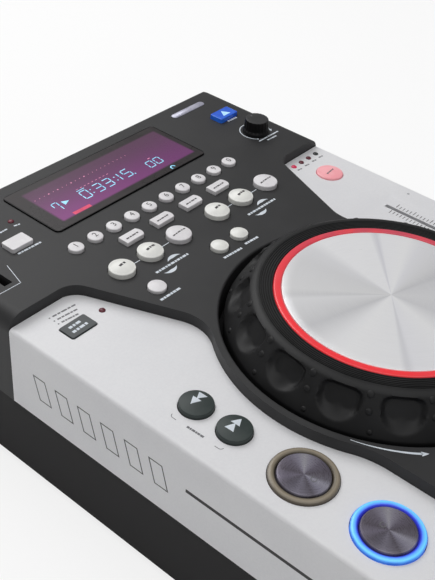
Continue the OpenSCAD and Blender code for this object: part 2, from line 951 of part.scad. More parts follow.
module feet() {
    color([0.1, 0.1, 0.1])
    for (x = [-side + foot_in[0], side - foot_in[0]])
        for (y = [front + foot_in[1], rear - foot_in[1]])
            translate([x, y, 0])
                rotate_extrude()
                    polygon([[0, 0], [foot_r - 1, 0], [foot_r, 1], [foot_r, foot_h], [0, foot_h]]);
}

module screws() {
    color([0.55, 0.55, 0.57])
    for (p = concat(deck_posts, panel_posts))
        translate([p[0], p[1], foot_h])
            difference() {
                union() {
                    cylinder(r = screw_head_r, h = screw_head_h);
                    cylinder(r = screw_r, h = screw_l);
                }
                for (a = [0, 90])
                    rotate([0, 0, a])
                        translate([-2, -0.4, -1])
                            cube([4, 0.8, 2]);
            }
}

// ---- electronics ----

module board(b, z) {
    translate([b[0], b[1], z - board_t])
        cube([b[2] - b[0], b[3] - b[1], board_t]);
}

module key_switch(at, z, h = switch_h) {
    translate([at[0] - switch_w / 2, at[1] - switch_w / 2, z - eps])
        cube([switch_w, switch_w, h + eps]);
}

module circuit_boards() {
    color([0.1, 0.32, 0.18]) {
        // main board in the tray
        union() {
            board(main_board, tray_board_z + board_t);
            for (c = main_parts)
                translate([main_board[0] + c[0], main_board[1] + c[1], tray_board_z + board_t - eps])
                    cube([c[2], c[3], c[4] + eps]);
        }
        // key board under the deck
        union() {
            board(key_board, deck_board_z);
            board(key_board_front, deck_board_z);
            for (k = deck_rounds)
                key_switch(k[0], deck_board_z);
            for (i = [0:3])
                key_switch(mode_at(i), deck_board_z);
        }
        union() {
            board(source_board, deck_board_z);
            key_switch(source_at, deck_board_z);
        }
        // board of the eject key, with the knob's encoder
        difference() {
            union() {
                board(eject_board, deck_board_z);
                key_switch(eject_at, deck_board_z);
                translate([knob_at[0] - encoder_w / 2, knob_at[1] - encoder_w / 2, deck_board_z - eps])
                    cube([encoder_w, encoder_w, key_drop - fit_gap]);
            }
            translate([knob_at[0], knob_at[1], deck_board_z + encoder_floor])
                cylinder(r = knob_shaft_r + turn_gap, h = key_drop);
        }
        union() {
            board(left_board, panel_board_z);
            for (y = search_y)
                key_switch([left_x, y], panel_board_z);
            for (y = [cue_y, play_y])
                key_switch([left_x, y], panel_board_z, switch_h - start_drop);
            key_switch(mode_key_at, panel_board_z);
        }
        union() {
            board(right_board, panel_board_z);
            key_switch(tempo_at, panel_board_z);
        }
    }
    // display module behind the window
    color([0.12, 0.1, 0.14])
        translate([display_cx - module_size[0] / 2, display_cy - module_size[1] / 2,
                   window_low - fit_gap - module_size[2]])
            cube(module_size);
}

module power_supply() {
    x0 = supply_board[0];
    y0 = supply_board[1];
    top = tray_board_z + board_t;
    color([0.5, 0.45, 0.2])
    union() {
        board(supply_board, top);
        translate([x0 + 8, y0 + 8, top - eps])
            cube(transformer);
        translate([x0 + 46, y0 + 6, top - eps])
            cube(heat_sink);
        for (y = [14, 32])
            translate([x0 + 60, y0 + y, top - eps])
                cylinder(r = can_r, h = can_h);
    }
}

module card_reader() {
    color([0.1, 0.1, 0.1])
    translate([card_at[0], card_at[1], deck_z - deck_t - card_depth])
        difference() {
            translate([-card_w / 2 - card_wall, -card_l / 2 - card_wall, 0])
                cube([card_w + 2 * card_wall, card_l + 2 * card_wall, card_depth]);
            translate([-card_w / 2, -card_l / 2, card_wall])
                cube([card_w, card_l, card_depth]);
        }
}

module fader_unit() {
    l = pocket_l;
    z = panel_z - pocket_depth - pocket_floor;
    color([0.6, 0.6, 0.62])
    difference() {
        translate([fader_x - fader_box_w / 2, fader_mid - l / 2, z - fader_box_h])
            cube([fader_box_w, l, fader_box_h]);
        translate([fader_x, fader_mid, z - fader_box_h / 2])
            cube([fader_box_w, l, fader_box_h] - 2 * fader_box_wall * [1, 1, 1], center = true);
        translate([fader_x - fader_slot_w / 2, fader_mid - fader_slot_l / 2, z - 3])
            cube([fader_slot_w, fader_slot_l, 4]);
    }
}

module fader_cap() {
    z = panel_z - pocket_depth;
    stem_low = z - pocket_floor - fader_box_h + fader_box_wall + 0.6;
    color([0.12, 0.12, 0.12])
    difference() {
        union() {
            // cap, hollowed along the middle for a finger
            translate([fader_x - fader_cap_w / 2, 0, 0])
                rotate([90, 0, 90])
                    linear_extrude(fader_cap_w)
                        polygon([
                            [fader_mid - fader_cap_l / 2, z + cap_lift],
                            [fader_mid + fader_cap_l / 2, z + cap_lift],
                            [fader_mid + fader_cap_l / 2 - cap_draft, z + cap_lift + cap_h],
                            [fader_mid - fader_cap_l / 2 + cap_draft, z + cap_lift + cap_h]
                        ]);
            translate([fader_x - stem_t / 2, fader_mid - stem_l / 2, stem_low])
                cube([stem_t, stem_l, z + cap_lift + 2 - stem_low]);
            translate([fader_x - slider[0] / 2, fader_mid - slider[1] / 2, stem_low])
                cube(slider);
        }
        translate([fader_x - fader_cap_w, fader_mid, z + cap_lift + cap_h + cap_hollow_r - cap_hollow])
            rotate([0, 90, 0])
                cylinder(r = cap_hollow_r, h = 2 * fader_cap_w);
    }
}

module selector_knob() {
    r = knob_d / 2;
    knob_low = deck_board_z + encoder_floor + fit_gap;
    color([0.1, 0.1, 0.1])
    translate([knob_at[0], knob_at[1], 0])
        rotate_extrude()
            polygon([
                [0, knob_low], [knob_shaft_r, knob_low],
                [knob_shaft_r, deck_z + knob_lift], [r + knob_skirt, deck_z + knob_lift],
                [r + knob_skirt, deck_z + knob_lift + 1.2], [r, deck_z + knob_lift + 2],
                [r - 0.4, deck_z + knob_lift + knob_h - 0.6], [r - 1, deck_z + knob_lift + knob_h],
                [0, deck_z + knob_lift + knob_h]
            ]);
}

// ---- jog wheel ----

module jog_wheel() {
    color([0.11, 0.11, 0.11])
    translate([0, jog_cy, 0])
        rotate_extrude($fn = 128)
            polygon([
                [jog_shaft_r + turn_gap / 2, skirt_z], [thrust_r + 1, skirt_z], [thrust_r + 1, plate_z - plate_t],
                [shoulder_inner_r, plate_z - plate_t],
                [shoulder_r - jog_wall, shoulder_z - 1], [shoulder_r - jog_wall, skirt_z],
                [shoulder_r, skirt_z], [shoulder_r, shoulder_z], shoulder_top, [groove_r, jog_top],
                [ring_r + 0.2, jog_top], [ring_r + 0.2, plate_z], [0, plate_z], [0, plate_z - plate_t],
                [jog_shaft_r + turn_gap / 2, plate_z - plate_t]
            ]);
}

module jog_light_ring() {
    color([0.85, 0.15, 0.2])
    translate([0, jog_cy, 0])
        rotate_extrude($fn = 128)
            polygon([
                [disc_r + 0.2, plate_z], [ring_r, plate_z], [ring_r, jog_top + 0.1],
                [disc_r + 0.2, jog_top + 0.1]
            ]);
}

module jog_disc() {
    color([0.8, 0.8, 0.82])
    translate([0, jog_cy, 0])
        rotate_extrude($fn = 128)
            polygon(concat(
                [[0, plate_z], [disc_r, plate_z], [disc_r, disc_edge_z - 0.3]],
                [for (i = [0:6])
                    let (k = 1 - i / 6)
                    [(disc_r - 0.4) * k, disc_edge_z + disc_crown * (1 - k * k)]]
            ));
}

module jog_shaft() {
    color([0.7, 0.7, 0.72])
    translate([0, jog_cy, well_floor - bearing_depth - 0.5])
        cylinder(r = jog_shaft_r, h = plate_z - plate_t - 0.1 - well_floor + bearing_depth + 0.5);
}

module jog_bearing() {
    color([0.72, 0.6, 0.3])
    translate([0, jog_cy, 0])
        rotate_extrude()
            polygon([
                [jog_shaft_r + turn_gap, well_floor - bearing_depth],
                [bearing_hole_r - fit_gap / 2, well_floor - bearing_depth],
                [bearing_hole_r - fit_gap / 2, well_floor], [bearing_lip_r, well_floor],
                [bearing_lip_r, well_floor + 2], [thrust_r, well_floor + 2],
                [thrust_r, skirt_z - fit_gap], [jog_shaft_r + turn_gap, skirt_z - fit_gap]
            ]);
}

// ---- disc drive ----

module drive_chassis() {
    color([0.7, 0.7, 0.72]) {
        difference() {
            union() {
                translate([-rail_in - rail_t, plate_front, chassis_z])
                    cube([2 * (rail_in + rail_t), rail_rear - plate_front, chassis_t]);
                translate([-tongue_half, plate_front, chassis_z])
                    cube([2 * tongue_half, chassis_rear - plate_front, chassis_t]);
                for (x = [-rail_in - rail_t, rail_in])
                    translate([x, chassis_front, chassis_z])
                        cube([rail_t, rail_rear - chassis_front, slot_z + 4.5 - chassis_z]);
                for (x = [-rod_x, rod_x])
                    for (y = [rod_front - lug_t, rod_rear])
                        translate([x - 3, y, rod_z - 3])
                            cube([6, lug_t, chassis_z - rod_z + 3 + eps]);
            }
            translate([0, drive_y, chassis_z - 1])
                cylinder(r = 4, h = chassis_t + 2);
            translate([-12, sled_front - 0.5, chassis_z - 1])
                cube([24, sled_l + sled_travel + 1, chassis_t + 2]);
            translate([-rail_in - rail_t - 1, roller_y, roller_z])
                rotate([0, 90, 0])
                    cylinder(r = roller_shaft_r + turn_gap, h = 2 * (rail_in + rail_t) + 2);
        }
        // spindle motor
        translate([0, drive_y, chassis_z - motor_h])
            difference() {
                cylinder(r = motor_r, h = motor_h);
                translate([0, 0, 4])
                    cylinder(r = spindle_r + turn_gap, h = motor_h);
            }
        // guide rods
        for (x = [-rod_x, rod_x])
            translate([x, rod_front, rod_z])
                rotate([-90, 0, 0])
                    cylinder(r = rod_r, h = rod_rear - rod_front);
    }
}

module spindle_hub() {
    color([0.15, 0.15, 0.15])
    translate([0, drive_y, 0])
        rotate_extrude()
            polygon([
                [0, chassis_z - motor_h + 4.4], [spindle_r, chassis_z - motor_h + 4.4],
                [spindle_r, hub_z - 2.7], [6, hub_z - 2.7], [6, hub_z],
                [hub_r, hub_z], [hub_r, hub_top - 2.4], [boss_r, hub_top - 2.4],
                [boss_r, hub_top - 1], [boss_r - 1, hub_top], [0, hub_top]
            ]);
}

module optical_sled() {
    color([0.2, 0.2, 0.22])
    difference() {
        union() {
            translate([-rod_x - 4, sled_front, rod_z - 3])
                cube([2 * rod_x + 8, sled_l, chassis_z - 0.5 - rod_z + 3]);
            translate([-9, sled_front + 2, chassis_z - 1])
                cube([18, sled_l - 4, 4.5]);
            translate([0, sled_front + sled_l / 2, chassis_z + 3])
                cylinder(r = 3.5, h = 3);
        }
        for (x = [-rod_x, rod_x])
            translate([x, sled_front - 1, rod_z])
                rotate([-90, 0, 0])
                    cylinder(r = rod_r + turn_gap, h = sled_l + 2);
    }
}

module feed_roller() {
    color([0.12, 0.12, 0.12])
    union() {
        translate([-roller_half, roller_y, roller_z])
            rotate([0, 90, 0])
                cylinder(r = roller_r, h = 2 * roller_half);
        translate([-rail_in - rail_t + 0.2, roller_y, roller_z])
            rotate([0, 90, 0])
                cylinder(r = roller_shaft_r, h = 2 * (rail_in + rail_t) - 0.4);
    }
}

// ---- lights ----

module led(at, z) {
    translate([at[0], at[1], z - 4])
        rotate_extrude()
            polygon(concat([[0, 0], [led_d / 2, 0]],
                [for (i = [0:5])
                    let (a = 90 * i / 5)
                    [led_d / 2 * cos(a), 4 + led_rise * sin(a)]]));
}

module start_ring(y) {
    translate([left_x, y, 0])
        rotate_extrude()
            polygon([
                [start_r + fit_gap, panel_z - 3], [start_ring_r, panel_z - 3],
                [start_ring_r, panel_z + start_ring_rise - 0.7],
                [start_ring_r - 0.8, panel_z + start_ring_rise],
                [start_r + fit_gap + 0.6, panel_z + start_ring_rise],
                [start_r + fit_gap, panel_z + start_ring_rise - 0.5]
            ]);
}

module indicator_lights() {
    color([0.5, 0.1, 0.12]) {
        for (i = [0:3])
            led([led_x + led_pitch * i, led_y], panel_z);
        led(mode_led_at, panel_z);
        led(source_led_at, deck_z);
    }
    color([0.3, 0.6, 0.85])
        for (y = [cue_y, play_y])
            start_ring(y);
}

// ---- press keys ----

// A cap inside its lit ring, on a flange that lies start_drop lower than the other keys' flanges
module start_button(y) {
    low = panel_z - panel_t - fit_gap - flange_t - start_drop;
    color([0.72, 0.7, 0.68])
    translate([left_x, y, 0])
        rotate_extrude()
            polygon([
                [0, low], [start_r + flange_w, low], [start_r + flange_w, low + flange_t],
                [start_r, low + flange_t], [start_r, panel_z + start_rise - 0.5],
                [start_r - 0.5, panel_z + start_rise], [0, panel_z + start_rise]
            ]);
}

module white() {
    color([0.9, 0.89, 0.9])
        children();
}

module cue_button() {
    start_button(cue_y);
}

module play_button() {
    start_button(play_y);
}

module search_forward_button() {
    color([0.2, 0.25, 0.24])
        round_key([left_x, search_y[1]], search_d, panel_z, panel_t, search_rise, search_dome);
}

module search_back_button() {
    color([0.2, 0.25, 0.24])
        round_key([left_x, search_y[0]], search_d, panel_z, panel_t, search_rise, search_dome);
}

module tempo_button() {
    color([0.98, 0.7, 0.72])
        round_key(tempo_at, tempo_d, panel_z, panel_t, tempo_rise, flat_dome);
}

module jog_mode_button() {
    color([0.25, 0.28, 0.29])
        flat_key(mode_key_at, mode_key_size, panel_z, panel_t, mode_key_rise, false);
}

module eject_button() {
    color([0.18, 0.36, 0.75])
        flat_key(eject_at, eject_size, deck_z, deck_t, eject_rise, false);
}

module source_button() {
    white()
        flat_key(source_at, source_size, deck_z, deck_t, key_rise, false);
}

module reverse_button() {
    white()
        round_key([reverse_x, round_y], small_d, deck_z, deck_t, small_rise, small_dome);
}

module brake_button() {
    white()
        round_key([brake_x, round_y], small_d, deck_z, deck_t, small_rise, small_dome);
}

module tap_button() {
    white()
        round_key([tap_x, round_y], small_d, deck_z, deck_t, key_rise, low_dome);
}

module number_button(i) {
    white()
        round_key(number_at(i), number_d, deck_z, deck_t, key_rise);
}

module mode_button(i) {
    white()
        flat_key(mode_at(i), [mode_w, mode_d], deck_z, deck_t, key_rise, true);
}

// The third key of each group is flatter than the first two
module loop_button(i) {
    white()
        if (i % 3 == 2)
            round_key(loop_at(i), loop_d, deck_z, deck_t, loop_low_rise, low_dome);
        else
            round_key(loop_at(i), loop_d, deck_z, deck_t, loop_rise, loop_dome);
}

base_tray();
top_housing();
left_panel();
right_panel();
slot_bezel();
display_window();
rear_panel();
rear_sockets();
mains_inlet();
switch_housing();
power_switch();
feet();
screws();
circuit_boards();
power_supply();
card_reader();
fader_unit();
fader_cap();
selector_knob();
jog_wheel();
jog_light_ring();
jog_disc();
jog_shaft();
jog_bearing();
drive_chassis();
spindle_hub();
optical_sled();
feed_roller();
indicator_lights();
eject_button();
source_button();
jog_mode_button();
reverse_button();
brake_button();
tap_button();
cue_button();
play_button();
tempo_button();
search_forward_button();
search_back_button();
for (i = [0:9])
    number_button(i);
for (i = [0:3])
    mode_button(i);
for (i = [0:5])
    loop_button(i);
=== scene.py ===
# A tabletop disc player seen from its front left corner: a black moulded deck between two
# silver panels, a rubber jog wheel with a lit ring, press keys, a lit display and a fader.
import json
import math
import bpy
from mathutils import Matrix, Vector


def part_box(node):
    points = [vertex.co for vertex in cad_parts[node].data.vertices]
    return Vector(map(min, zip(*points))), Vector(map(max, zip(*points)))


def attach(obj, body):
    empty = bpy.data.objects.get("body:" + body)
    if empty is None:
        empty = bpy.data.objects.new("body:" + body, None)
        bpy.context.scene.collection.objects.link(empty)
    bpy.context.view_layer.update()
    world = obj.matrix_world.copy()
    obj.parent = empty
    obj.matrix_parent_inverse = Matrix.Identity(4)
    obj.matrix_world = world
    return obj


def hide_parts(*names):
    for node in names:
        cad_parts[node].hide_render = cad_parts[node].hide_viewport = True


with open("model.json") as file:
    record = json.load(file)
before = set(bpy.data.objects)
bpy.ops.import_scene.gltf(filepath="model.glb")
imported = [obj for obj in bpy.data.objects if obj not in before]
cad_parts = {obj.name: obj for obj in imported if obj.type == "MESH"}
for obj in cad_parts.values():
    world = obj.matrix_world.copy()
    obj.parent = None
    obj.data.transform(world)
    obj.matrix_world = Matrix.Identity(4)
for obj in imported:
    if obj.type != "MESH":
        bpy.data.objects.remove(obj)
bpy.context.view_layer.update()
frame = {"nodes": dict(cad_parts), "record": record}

mm = 0.001
rootBody = "player_body"
meshWork = {"merge": 2e-6, "flatAngle": 0.6, "sharpAngle": 30}   # metres and degrees
print("frame loaded")


class Wire:
    # one output of a shader node, with shader maths written as Python
    def __init__(self, tree, socket):
        self.tree = tree
        self.socket = socket

    def node(self, kind, settings=None, values=None, output=0):
        made = self.tree.nodes.new(kind)
        for name, value in (settings or {}).items():
            if name == "stops":
                fillRamp(made.color_ramp, value)
            else:
                setattr(made, name, value)
        for name, value in (values or {}).items():
            if isinstance(value, Wire):
                self.tree.links.new(value.socket, made.inputs[name])
            else:
                made.inputs[name].default_value = value
        return Wire(self.tree, made.outputs[output])

    def maths(self, operation, *others):
        return self.node("ShaderNodeMath", {"operation": operation}, dict(enumerate((self,) + others)))

    def __add__(self, other):
        return self.maths("ADD", other)

    __radd__ = __add__

    def __sub__(self, other):
        return self.maths("SUBTRACT", other)

    def __rsub__(self, other):
        return self.maths("MULTIPLY", -1.0).maths("ADD", other)

    def __mul__(self, other):
        return self.maths("MULTIPLY", other)

    __rmul__ = __mul__

    def __truediv__(self, other):
        return self.maths("DIVIDE", other)

    def __gt__(self, other):
        return self.maths("GREATER_THAN", other)

    def __lt__(self, other):
        return self.maths("LESS_THAN", other)

    def power(self, other):
        return self.maths("POWER", other)

    def sine(self):
        return self.maths("SINE")

    def least(self, other):
        return self.maths("MINIMUM", other)

    def most(self, other):
        return self.maths("MAXIMUM", other)

    def ramp(self, *stops):
        return self.node("ShaderNodeValToRGB", {"stops": stops}, {0: self})

    def smooth(self, low, high):
        # 0 at low and 1 at high, with soft ends
        settings = {"interpolation_type": "SMOOTHSTEP"}
        return self.node("ShaderNodeMapRange", settings, {0: self, 1: low, 2: high})

    def band(self, low, high, soft):
        # 1 between low and high, with soft ends
        return self.smooth(low - soft, low + soft) * (1 - self.smooth(high - soft, high + soft))

    def blend(self, first, second):
        # this value picks between two colours
        return self.node("ShaderNodeMix", {"data_type": "RGBA"}, {0: self, 6: first, 7: second}, 2)

    def axes(self):
        made = self.node("ShaderNodeSeparateXYZ", None, {0: self})
        outputs = made.socket.node.outputs
        return [Wire(self.tree, outputs[i]) * 1000.0 for i in range(3)]   # in millimetres


def fillRamp(ramp, stops):
    while len(ramp.elements) < len(stops):
        ramp.elements.new(1.0)
    for element, (place, colour) in zip(ramp.elements, sorted(stops)):
        element.position = place
        element.color = colour


def paint(red, green, blue):
    # a colour written as it looks on screen, 0 to 255, made linear
    def linear(value):
        value = value / 255
        return value / 12.92 if value <= 0.04045 else ((value + 0.055) / 1.055) ** 2.4
    return (linear(red), linear(green), linear(blue), 1.0)


def newMaterial(name):
    material = bpy.data.materials.new(name)
    material.use_nodes = True
    tree = material.node_tree
    shader = tree.nodes["Principled BSDF"]
    place = Wire(tree, tree.nodes.new("ShaderNodeTexCoord").outputs["Object"])
    return material, shader, place


def feed(shader, name, wire):
    wire.tree.links.new(wire.socket, shader.inputs[name])


def noise(place, scale, detail=3.0):
    values = {"Vector": place, "Scale": scale, "Detail": detail, "Roughness": 0.55}
    return place.node("ShaderNodeTexNoise", None, values)


def bump(shader, height, strength, distance):
    feed(shader, "Normal", height.node("ShaderNodeBump", None,
                                       {"Height": height, "Strength": strength, "Distance": distance}))


def steady(shader, values):
    # what is the same all over the surface
    for name, value in values.items():
        shader.inputs[name].default_value = value


def at(x, y, z):
    return Vector((x * mm, y * mm, z * mm))


def around(centre, radius, degrees):
    # a point on a circle
    way = math.radians(degrees)
    return centre[0] + radius * math.cos(way), centre[1] + radius * math.sin(way)


def link(item):
    bpy.context.collection.objects.link(item)


def deselect():
    bpy.ops.object.select_all(action="DESELECT")


def applyPlace():
    bpy.ops.object.transform_apply(location=True, rotation=True, scale=True)


def openAll():
    # edit mode with everything selected
    bpy.ops.object.mode_set(mode="EDIT")
    bpy.ops.mesh.select_all(action="SELECT")


def drawOut(step):
    bpy.ops.mesh.extrude_region_move(TRANSFORM_OT_translate={"value": step})


def leaveEdit():
    bpy.ops.object.mode_set(mode="OBJECT")


def closeUp():
    # faces turned outwards, and back to object mode
    bpy.ops.mesh.select_all(action="SELECT")
    bpy.ops.mesh.normals_make_consistent(inside=False)
    leaveEdit()
    return bpy.context.object


def pick(*objects):
    if bpy.context.mode != "OBJECT":
        leaveEdit()
    deselect()
    for item in objects:
        item.select_set(True)
    bpy.context.view_layer.objects.active = objects[0]


def applyModifiers(piece):
    pick(piece)
    for modifier in list(piece.modifiers):
        bpy.ops.object.modifier_apply(modifier=modifier.name)


def smoothByAngle(piece, degrees):
    pick(piece)
    bpy.ops.object.shade_smooth_by_angle(angle=math.radians(degrees))


def evenShade(piece, degrees=40):
    # smooth rounds beside flat faces, with the large faces kept flat to the eye
    smoothByAngle(piece, degrees)
    even = piece.modifiers.new("even", "WEIGHTED_NORMAL")
    even.keep_sharp = True
    even.weight = 90
    applyModifiers(piece)


def settle(piece, name, body, material, slot, *nodes, smooth=0):
    # the last steps of every piece: its shading, name, finish, body and the nodes that it stands for
    if smooth:
        smoothByAngle(piece, smooth)
    pick(piece)
    applyPlace()
    piece.name = name
    piece.data.name = name
    piece.data.materials.clear()
    piece.data.materials.append(finishes.get(material, material))   # a finish's name, or a material
    for face in piece.data.polygons:
        face.material_index = 0
    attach(piece, body)
    if nodes:
        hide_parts(*nodes)


def join(pieces):
    pick(*pieces)
    if len(pieces) > 1:
        bpy.ops.object.join()
    return bpy.context.object


def selectEdges(piece, wanted):
    # marks edges for an edit-mode step; wanted is given both ends (mm) and the normals beside the edge
    pick(piece)
    bpy.ops.object.mode_set(mode="EDIT")
    bpy.ops.mesh.select_mode(type="EDGE")
    bpy.ops.mesh.select_all(action="DESELECT")
    leaveEdit()
    mesh = piece.data
    beside = {}
    for face in mesh.polygons:
        for key in face.edge_keys:
            beside.setdefault(key, []).append(face.normal)
    found = 0
    for edge in mesh.edges:
        ends = [mesh.vertices[i].co / mm for i in edge.vertices]
        if wanted(ends[0], ends[1], beside.get(edge.key, [])):
            edge.select = True
            found += 1
    bpy.ops.object.mode_set(mode="EDIT")
    return found


def edged(node, body, material, slot, width, segments=2, first=None):
    # a copy of a CAD node with its facets merged and its sharp edges rounded
    piece = frame["nodes"][node].copy()
    piece.data = piece.data.copy()
    link(piece)
    piece.parent = None
    piece.matrix_world = Matrix.Identity(4)
    piece.hide_render = False
    pick(piece)
    openAll()
    bpy.ops.mesh.remove_doubles(threshold=meshWork["merge"])
    bpy.ops.mesh.dissolve_limited(angle_limit=math.radians(meshWork["flatAngle"]))
    bpy.ops.mesh.select_all(action="DESELECT")
    leaveEdit()
    if first:
        first(piece)
    rounding = piece.modifiers.new("rounding", "BEVEL")
    rounding.width = width * mm
    rounding.segments = segments
    rounding.limit_method = "ANGLE"
    rounding.angle_limit = math.radians(meshWork["sharpAngle"])
    rounding.use_clamp_overlap = True
    applyModifiers(piece)
    evenShade(piece)
    settle(piece, node + "_shell", body, material, slot, node)


def lathe(points, centre, steps):
    # profile points (radius, height) in mm, drawn out one by one and spun about an upright axis
    deselect()
    bpy.ops.mesh.primitive_plane_add(size=mm)
    bpy.ops.object.mode_set(mode="EDIT")
    bpy.ops.mesh.merge(type="CENTER")
    bpy.ops.transform.translate(value=at(centre[0] + points[0][0], centre[1], points[0][1]))
    for before, after in zip(points, points[1:]):
        drawOut(at(after[0] - before[0], 0, after[1] - before[1]))
    bpy.ops.mesh.select_all(action="SELECT")
    bpy.ops.mesh.spin(steps=steps, angle=-2 * math.pi, center=at(*centre, 0), axis=(0, 0, 1))
    bpy.ops.mesh.select_all(action="SELECT")
    bpy.ops.mesh.remove_doubles(threshold=meshWork["merge"])
    return closeUp()


def slab(x, y, z, width, depth, height, edge):
    # a low block: a plane drawn up to its height, with rounded edges
    deselect()
    bpy.ops.mesh.primitive_plane_add(size=1, location=at(x, y, z))
    made = bpy.context.object
    made.scale = (width * mm, depth * mm, 1)
    applyPlace()
    openAll()
    drawOut((0, 0, height * mm))
    bpy.ops.mesh.select_all(action="SELECT")
    bpy.ops.mesh.normals_make_consistent(inside=False)
    bpy.ops.mesh.bevel(offset=edge * mm, segments=2, affect="EDGES")
    leaveEdit()
    return bpy.context.object


def bar(x, y, z, width, depth, turn=0):
    # a flat printed bar
    deselect()
    bpy.ops.mesh.primitive_grid_add(x_subdivisions=1, y_subdivisions=1, size=1,
                                    location=at(x, y, z), rotation=(0, 0, math.radians(turn)))
    made = bpy.context.object
    made.scale = (width * mm, depth * mm, 1)
    applyPlace()
    return made


def line(start, end, z, width):
    # a printed bar from one point to another
    span = (end[0] - start[0], end[1] - start[1])
    return bar((start[0] + end[0]) / 2, (start[1] + end[1]) / 2, z, math.hypot(*span), width,
               math.degrees(math.atan2(span[1], span[0])))


def dashes(start, end, z, height, parts, gap=0.3):
    # a row of short bars of different lengths
    lengths = ([3, 2, 4, 2, 3, 4, 2] * 2)[:parts]
    span = Vector((end[0] - start[0], end[1] - start[1]))
    unit = 1 / (sum(lengths) + gap * 2 * (parts - 1))
    done, made = 0, []
    for length in lengths:
        low, high = done * unit, (done + length) * unit
        made.append(line(Vector(start) + span * low, Vector(start) + span * high, z, height))
        done += length + 2 * gap
    return made


def arcStrip(centre, z, radius, width, start, sweep, steps):
    # a printed arc: a short edge spun round its centre
    x, y = around(centre, radius, start)
    deselect()
    bpy.ops.mesh.primitive_plane_add(size=1, location=at(x, y, z), rotation=(0, 0, math.radians(start)))
    made = bpy.context.object
    made.scale = (width * mm, 0, 1)
    applyPlace()
    openAll()
    bpy.ops.mesh.remove_doubles(threshold=1e-7)
    bpy.ops.mesh.spin(steps=steps, angle=-math.radians(sweep), center=at(*centre, z), axis=(0, 0, 1))
    closeUp()
    faceUp(made)
    return made


def polygon(corners, z):
    # a printed shape given by its corners
    deselect()
    bpy.ops.mesh.primitive_circle_add(vertices=len(corners), radius=mm, fill_type="NGON")
    made = bpy.context.object
    for vertex, corner in zip(made.data.vertices, corners):
        vertex.co = (corner[0] * mm, corner[1] * mm, z * mm)
    made.data.update()
    faceUp(made)
    return made


def triangle(x, y, z, length, width, turn):
    # a printed triangle whose point looks along turn
    back = around((x, y), -length / 2, turn)
    return polygon([around((x, y), length / 2, turn), around(back, width / 2, turn + 90),
                    around(back, -width / 2, turn + 90)], z)


def faceUp(made):
    if sum(face.normal.z * face.area for face in made.data.polygons) < 0:
        made.data.flip_normals()


def drape(piece, height):
    # lifts every point of a print to a curved top
    for vertex in piece.data.vertices:
        vertex.co.z = height(vertex.co.x / mm, vertex.co.y / mm) * mm


def numeral(text, x, y, z, size, turn):
    deselect()
    bpy.ops.object.text_add(location=at(x, y, z), rotation=(0, 0, math.radians(turn)))
    made = bpy.context.object
    made.data.body = text
    made.data.size = size * mm
    made.data.align_x = "CENTER"
    made.data.align_y = "CENTER"
    made.data.resolution_u = 4
    bpy.ops.object.convert(target="MESH")
    applyPlace()
    return bpy.context.object


def boxOf(node):
    low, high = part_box(node)
    return [value / mm for value in low], [value / mm for value in high]


def middleOf(node):
    low, high = boxOf(node)
    return [(a + b) / 2 for a, b in zip(low, high)]


studio = {
    "cameraPlace": (-0.30525, -0.1852, 0.3533),
    "right": (0.64011, -0.76494, 0.07158),
    "up": (0.43810, 0.43996, 0.78390),
    "ahead": (0.63113, 0.47042, -0.61674),
    "lens": 60.88,
    "film": 36.0,
    "worldLight": 0.25,
    "lamps": [   # name, place, what it looks at, size, power
        ("keyLamp", (0.15, 0.75, 0.8), (0, 0, 0.08), (0.9, 0.6), 5.0),
        ("topLamp", (-0.15, -0.1, 1.3), (0, 0, 0.08), (1.4, 1.4), 6.5),
        ("fillLamp", (-0.7, -0.7, 0.6), (0, 0, 0.06), (0.7, 0.7), 0.5),
    ],
    "floorSize": 8, "floorDrop": 0.0002, "floorGlow": 0.8,
}


def setStudio():
    scene = bpy.context.scene
    scene.view_settings.view_transform = "Standard"
    camera = bpy.data.objects.new("camera", bpy.data.cameras.new("camera"))
    link(camera)
    turn = Matrix([studio["right"], studio["up"], [-a for a in studio["ahead"]]]).transposed()
    camera.matrix_world = Matrix.Translation(studio["cameraPlace"]) @ turn.to_4x4()
    camera.data.lens = studio["lens"]
    camera.data.sensor_fit = "VERTICAL"
    camera.data.sensor_height = studio["film"]
    camera.data.clip_start = 0.01
    scene.camera = camera

    world = bpy.data.worlds.new("room")
    scene.world = world
    world.use_nodes = True
    tree = world.node_tree
    glow = tree.nodes["Background"]
    glow.inputs["Color"].default_value = (1, 1, 1, 1)
    path = tree.nodes.new("ShaderNodeLightPath")
    seen = Wire(tree, path.outputs["Is Camera Ray"]).most(Wire(tree, path.outputs["Is Transmission Ray"]))
    feed(glow, "Strength", studio["worldLight"] + seen * (1 - studio["worldLight"]))

    for lamp in studio["lamps"]:
        addLamp(*lamp)

    deselect()
    bpy.ops.mesh.primitive_plane_add(size=studio["floorSize"], location=(0, 0, -studio["floorDrop"]))
    floor = bpy.context.object
    applyPlace()
    floor.name = "floor"
    material, shader, place = newMaterial("floorPaper")
    steady(shader, {"Roughness": 0.9})
    feed(shader, "Base Color", noise(place, 6.0).blend(paint(250, 250, 250), paint(255, 255, 255)))
    tree = material.node_tree
    lit = tree.nodes.new("ShaderNodeEmission")
    path = tree.nodes.new("ShaderNodeLightPath")
    mix = tree.nodes.new("ShaderNodeMixShader")
    seen = Wire(tree, path.outputs["Is Camera Ray"]) * studio["floorGlow"]
    tree.links.new(seen.socket, mix.inputs[0])
    tree.links.new(shader.outputs[0], mix.inputs[1])
    tree.links.new(lit.outputs[0], mix.inputs[2])
    tree.links.new(mix.outputs[0], tree.nodes["Material Output"].inputs["Surface"])
    floor.data.materials.append(material)


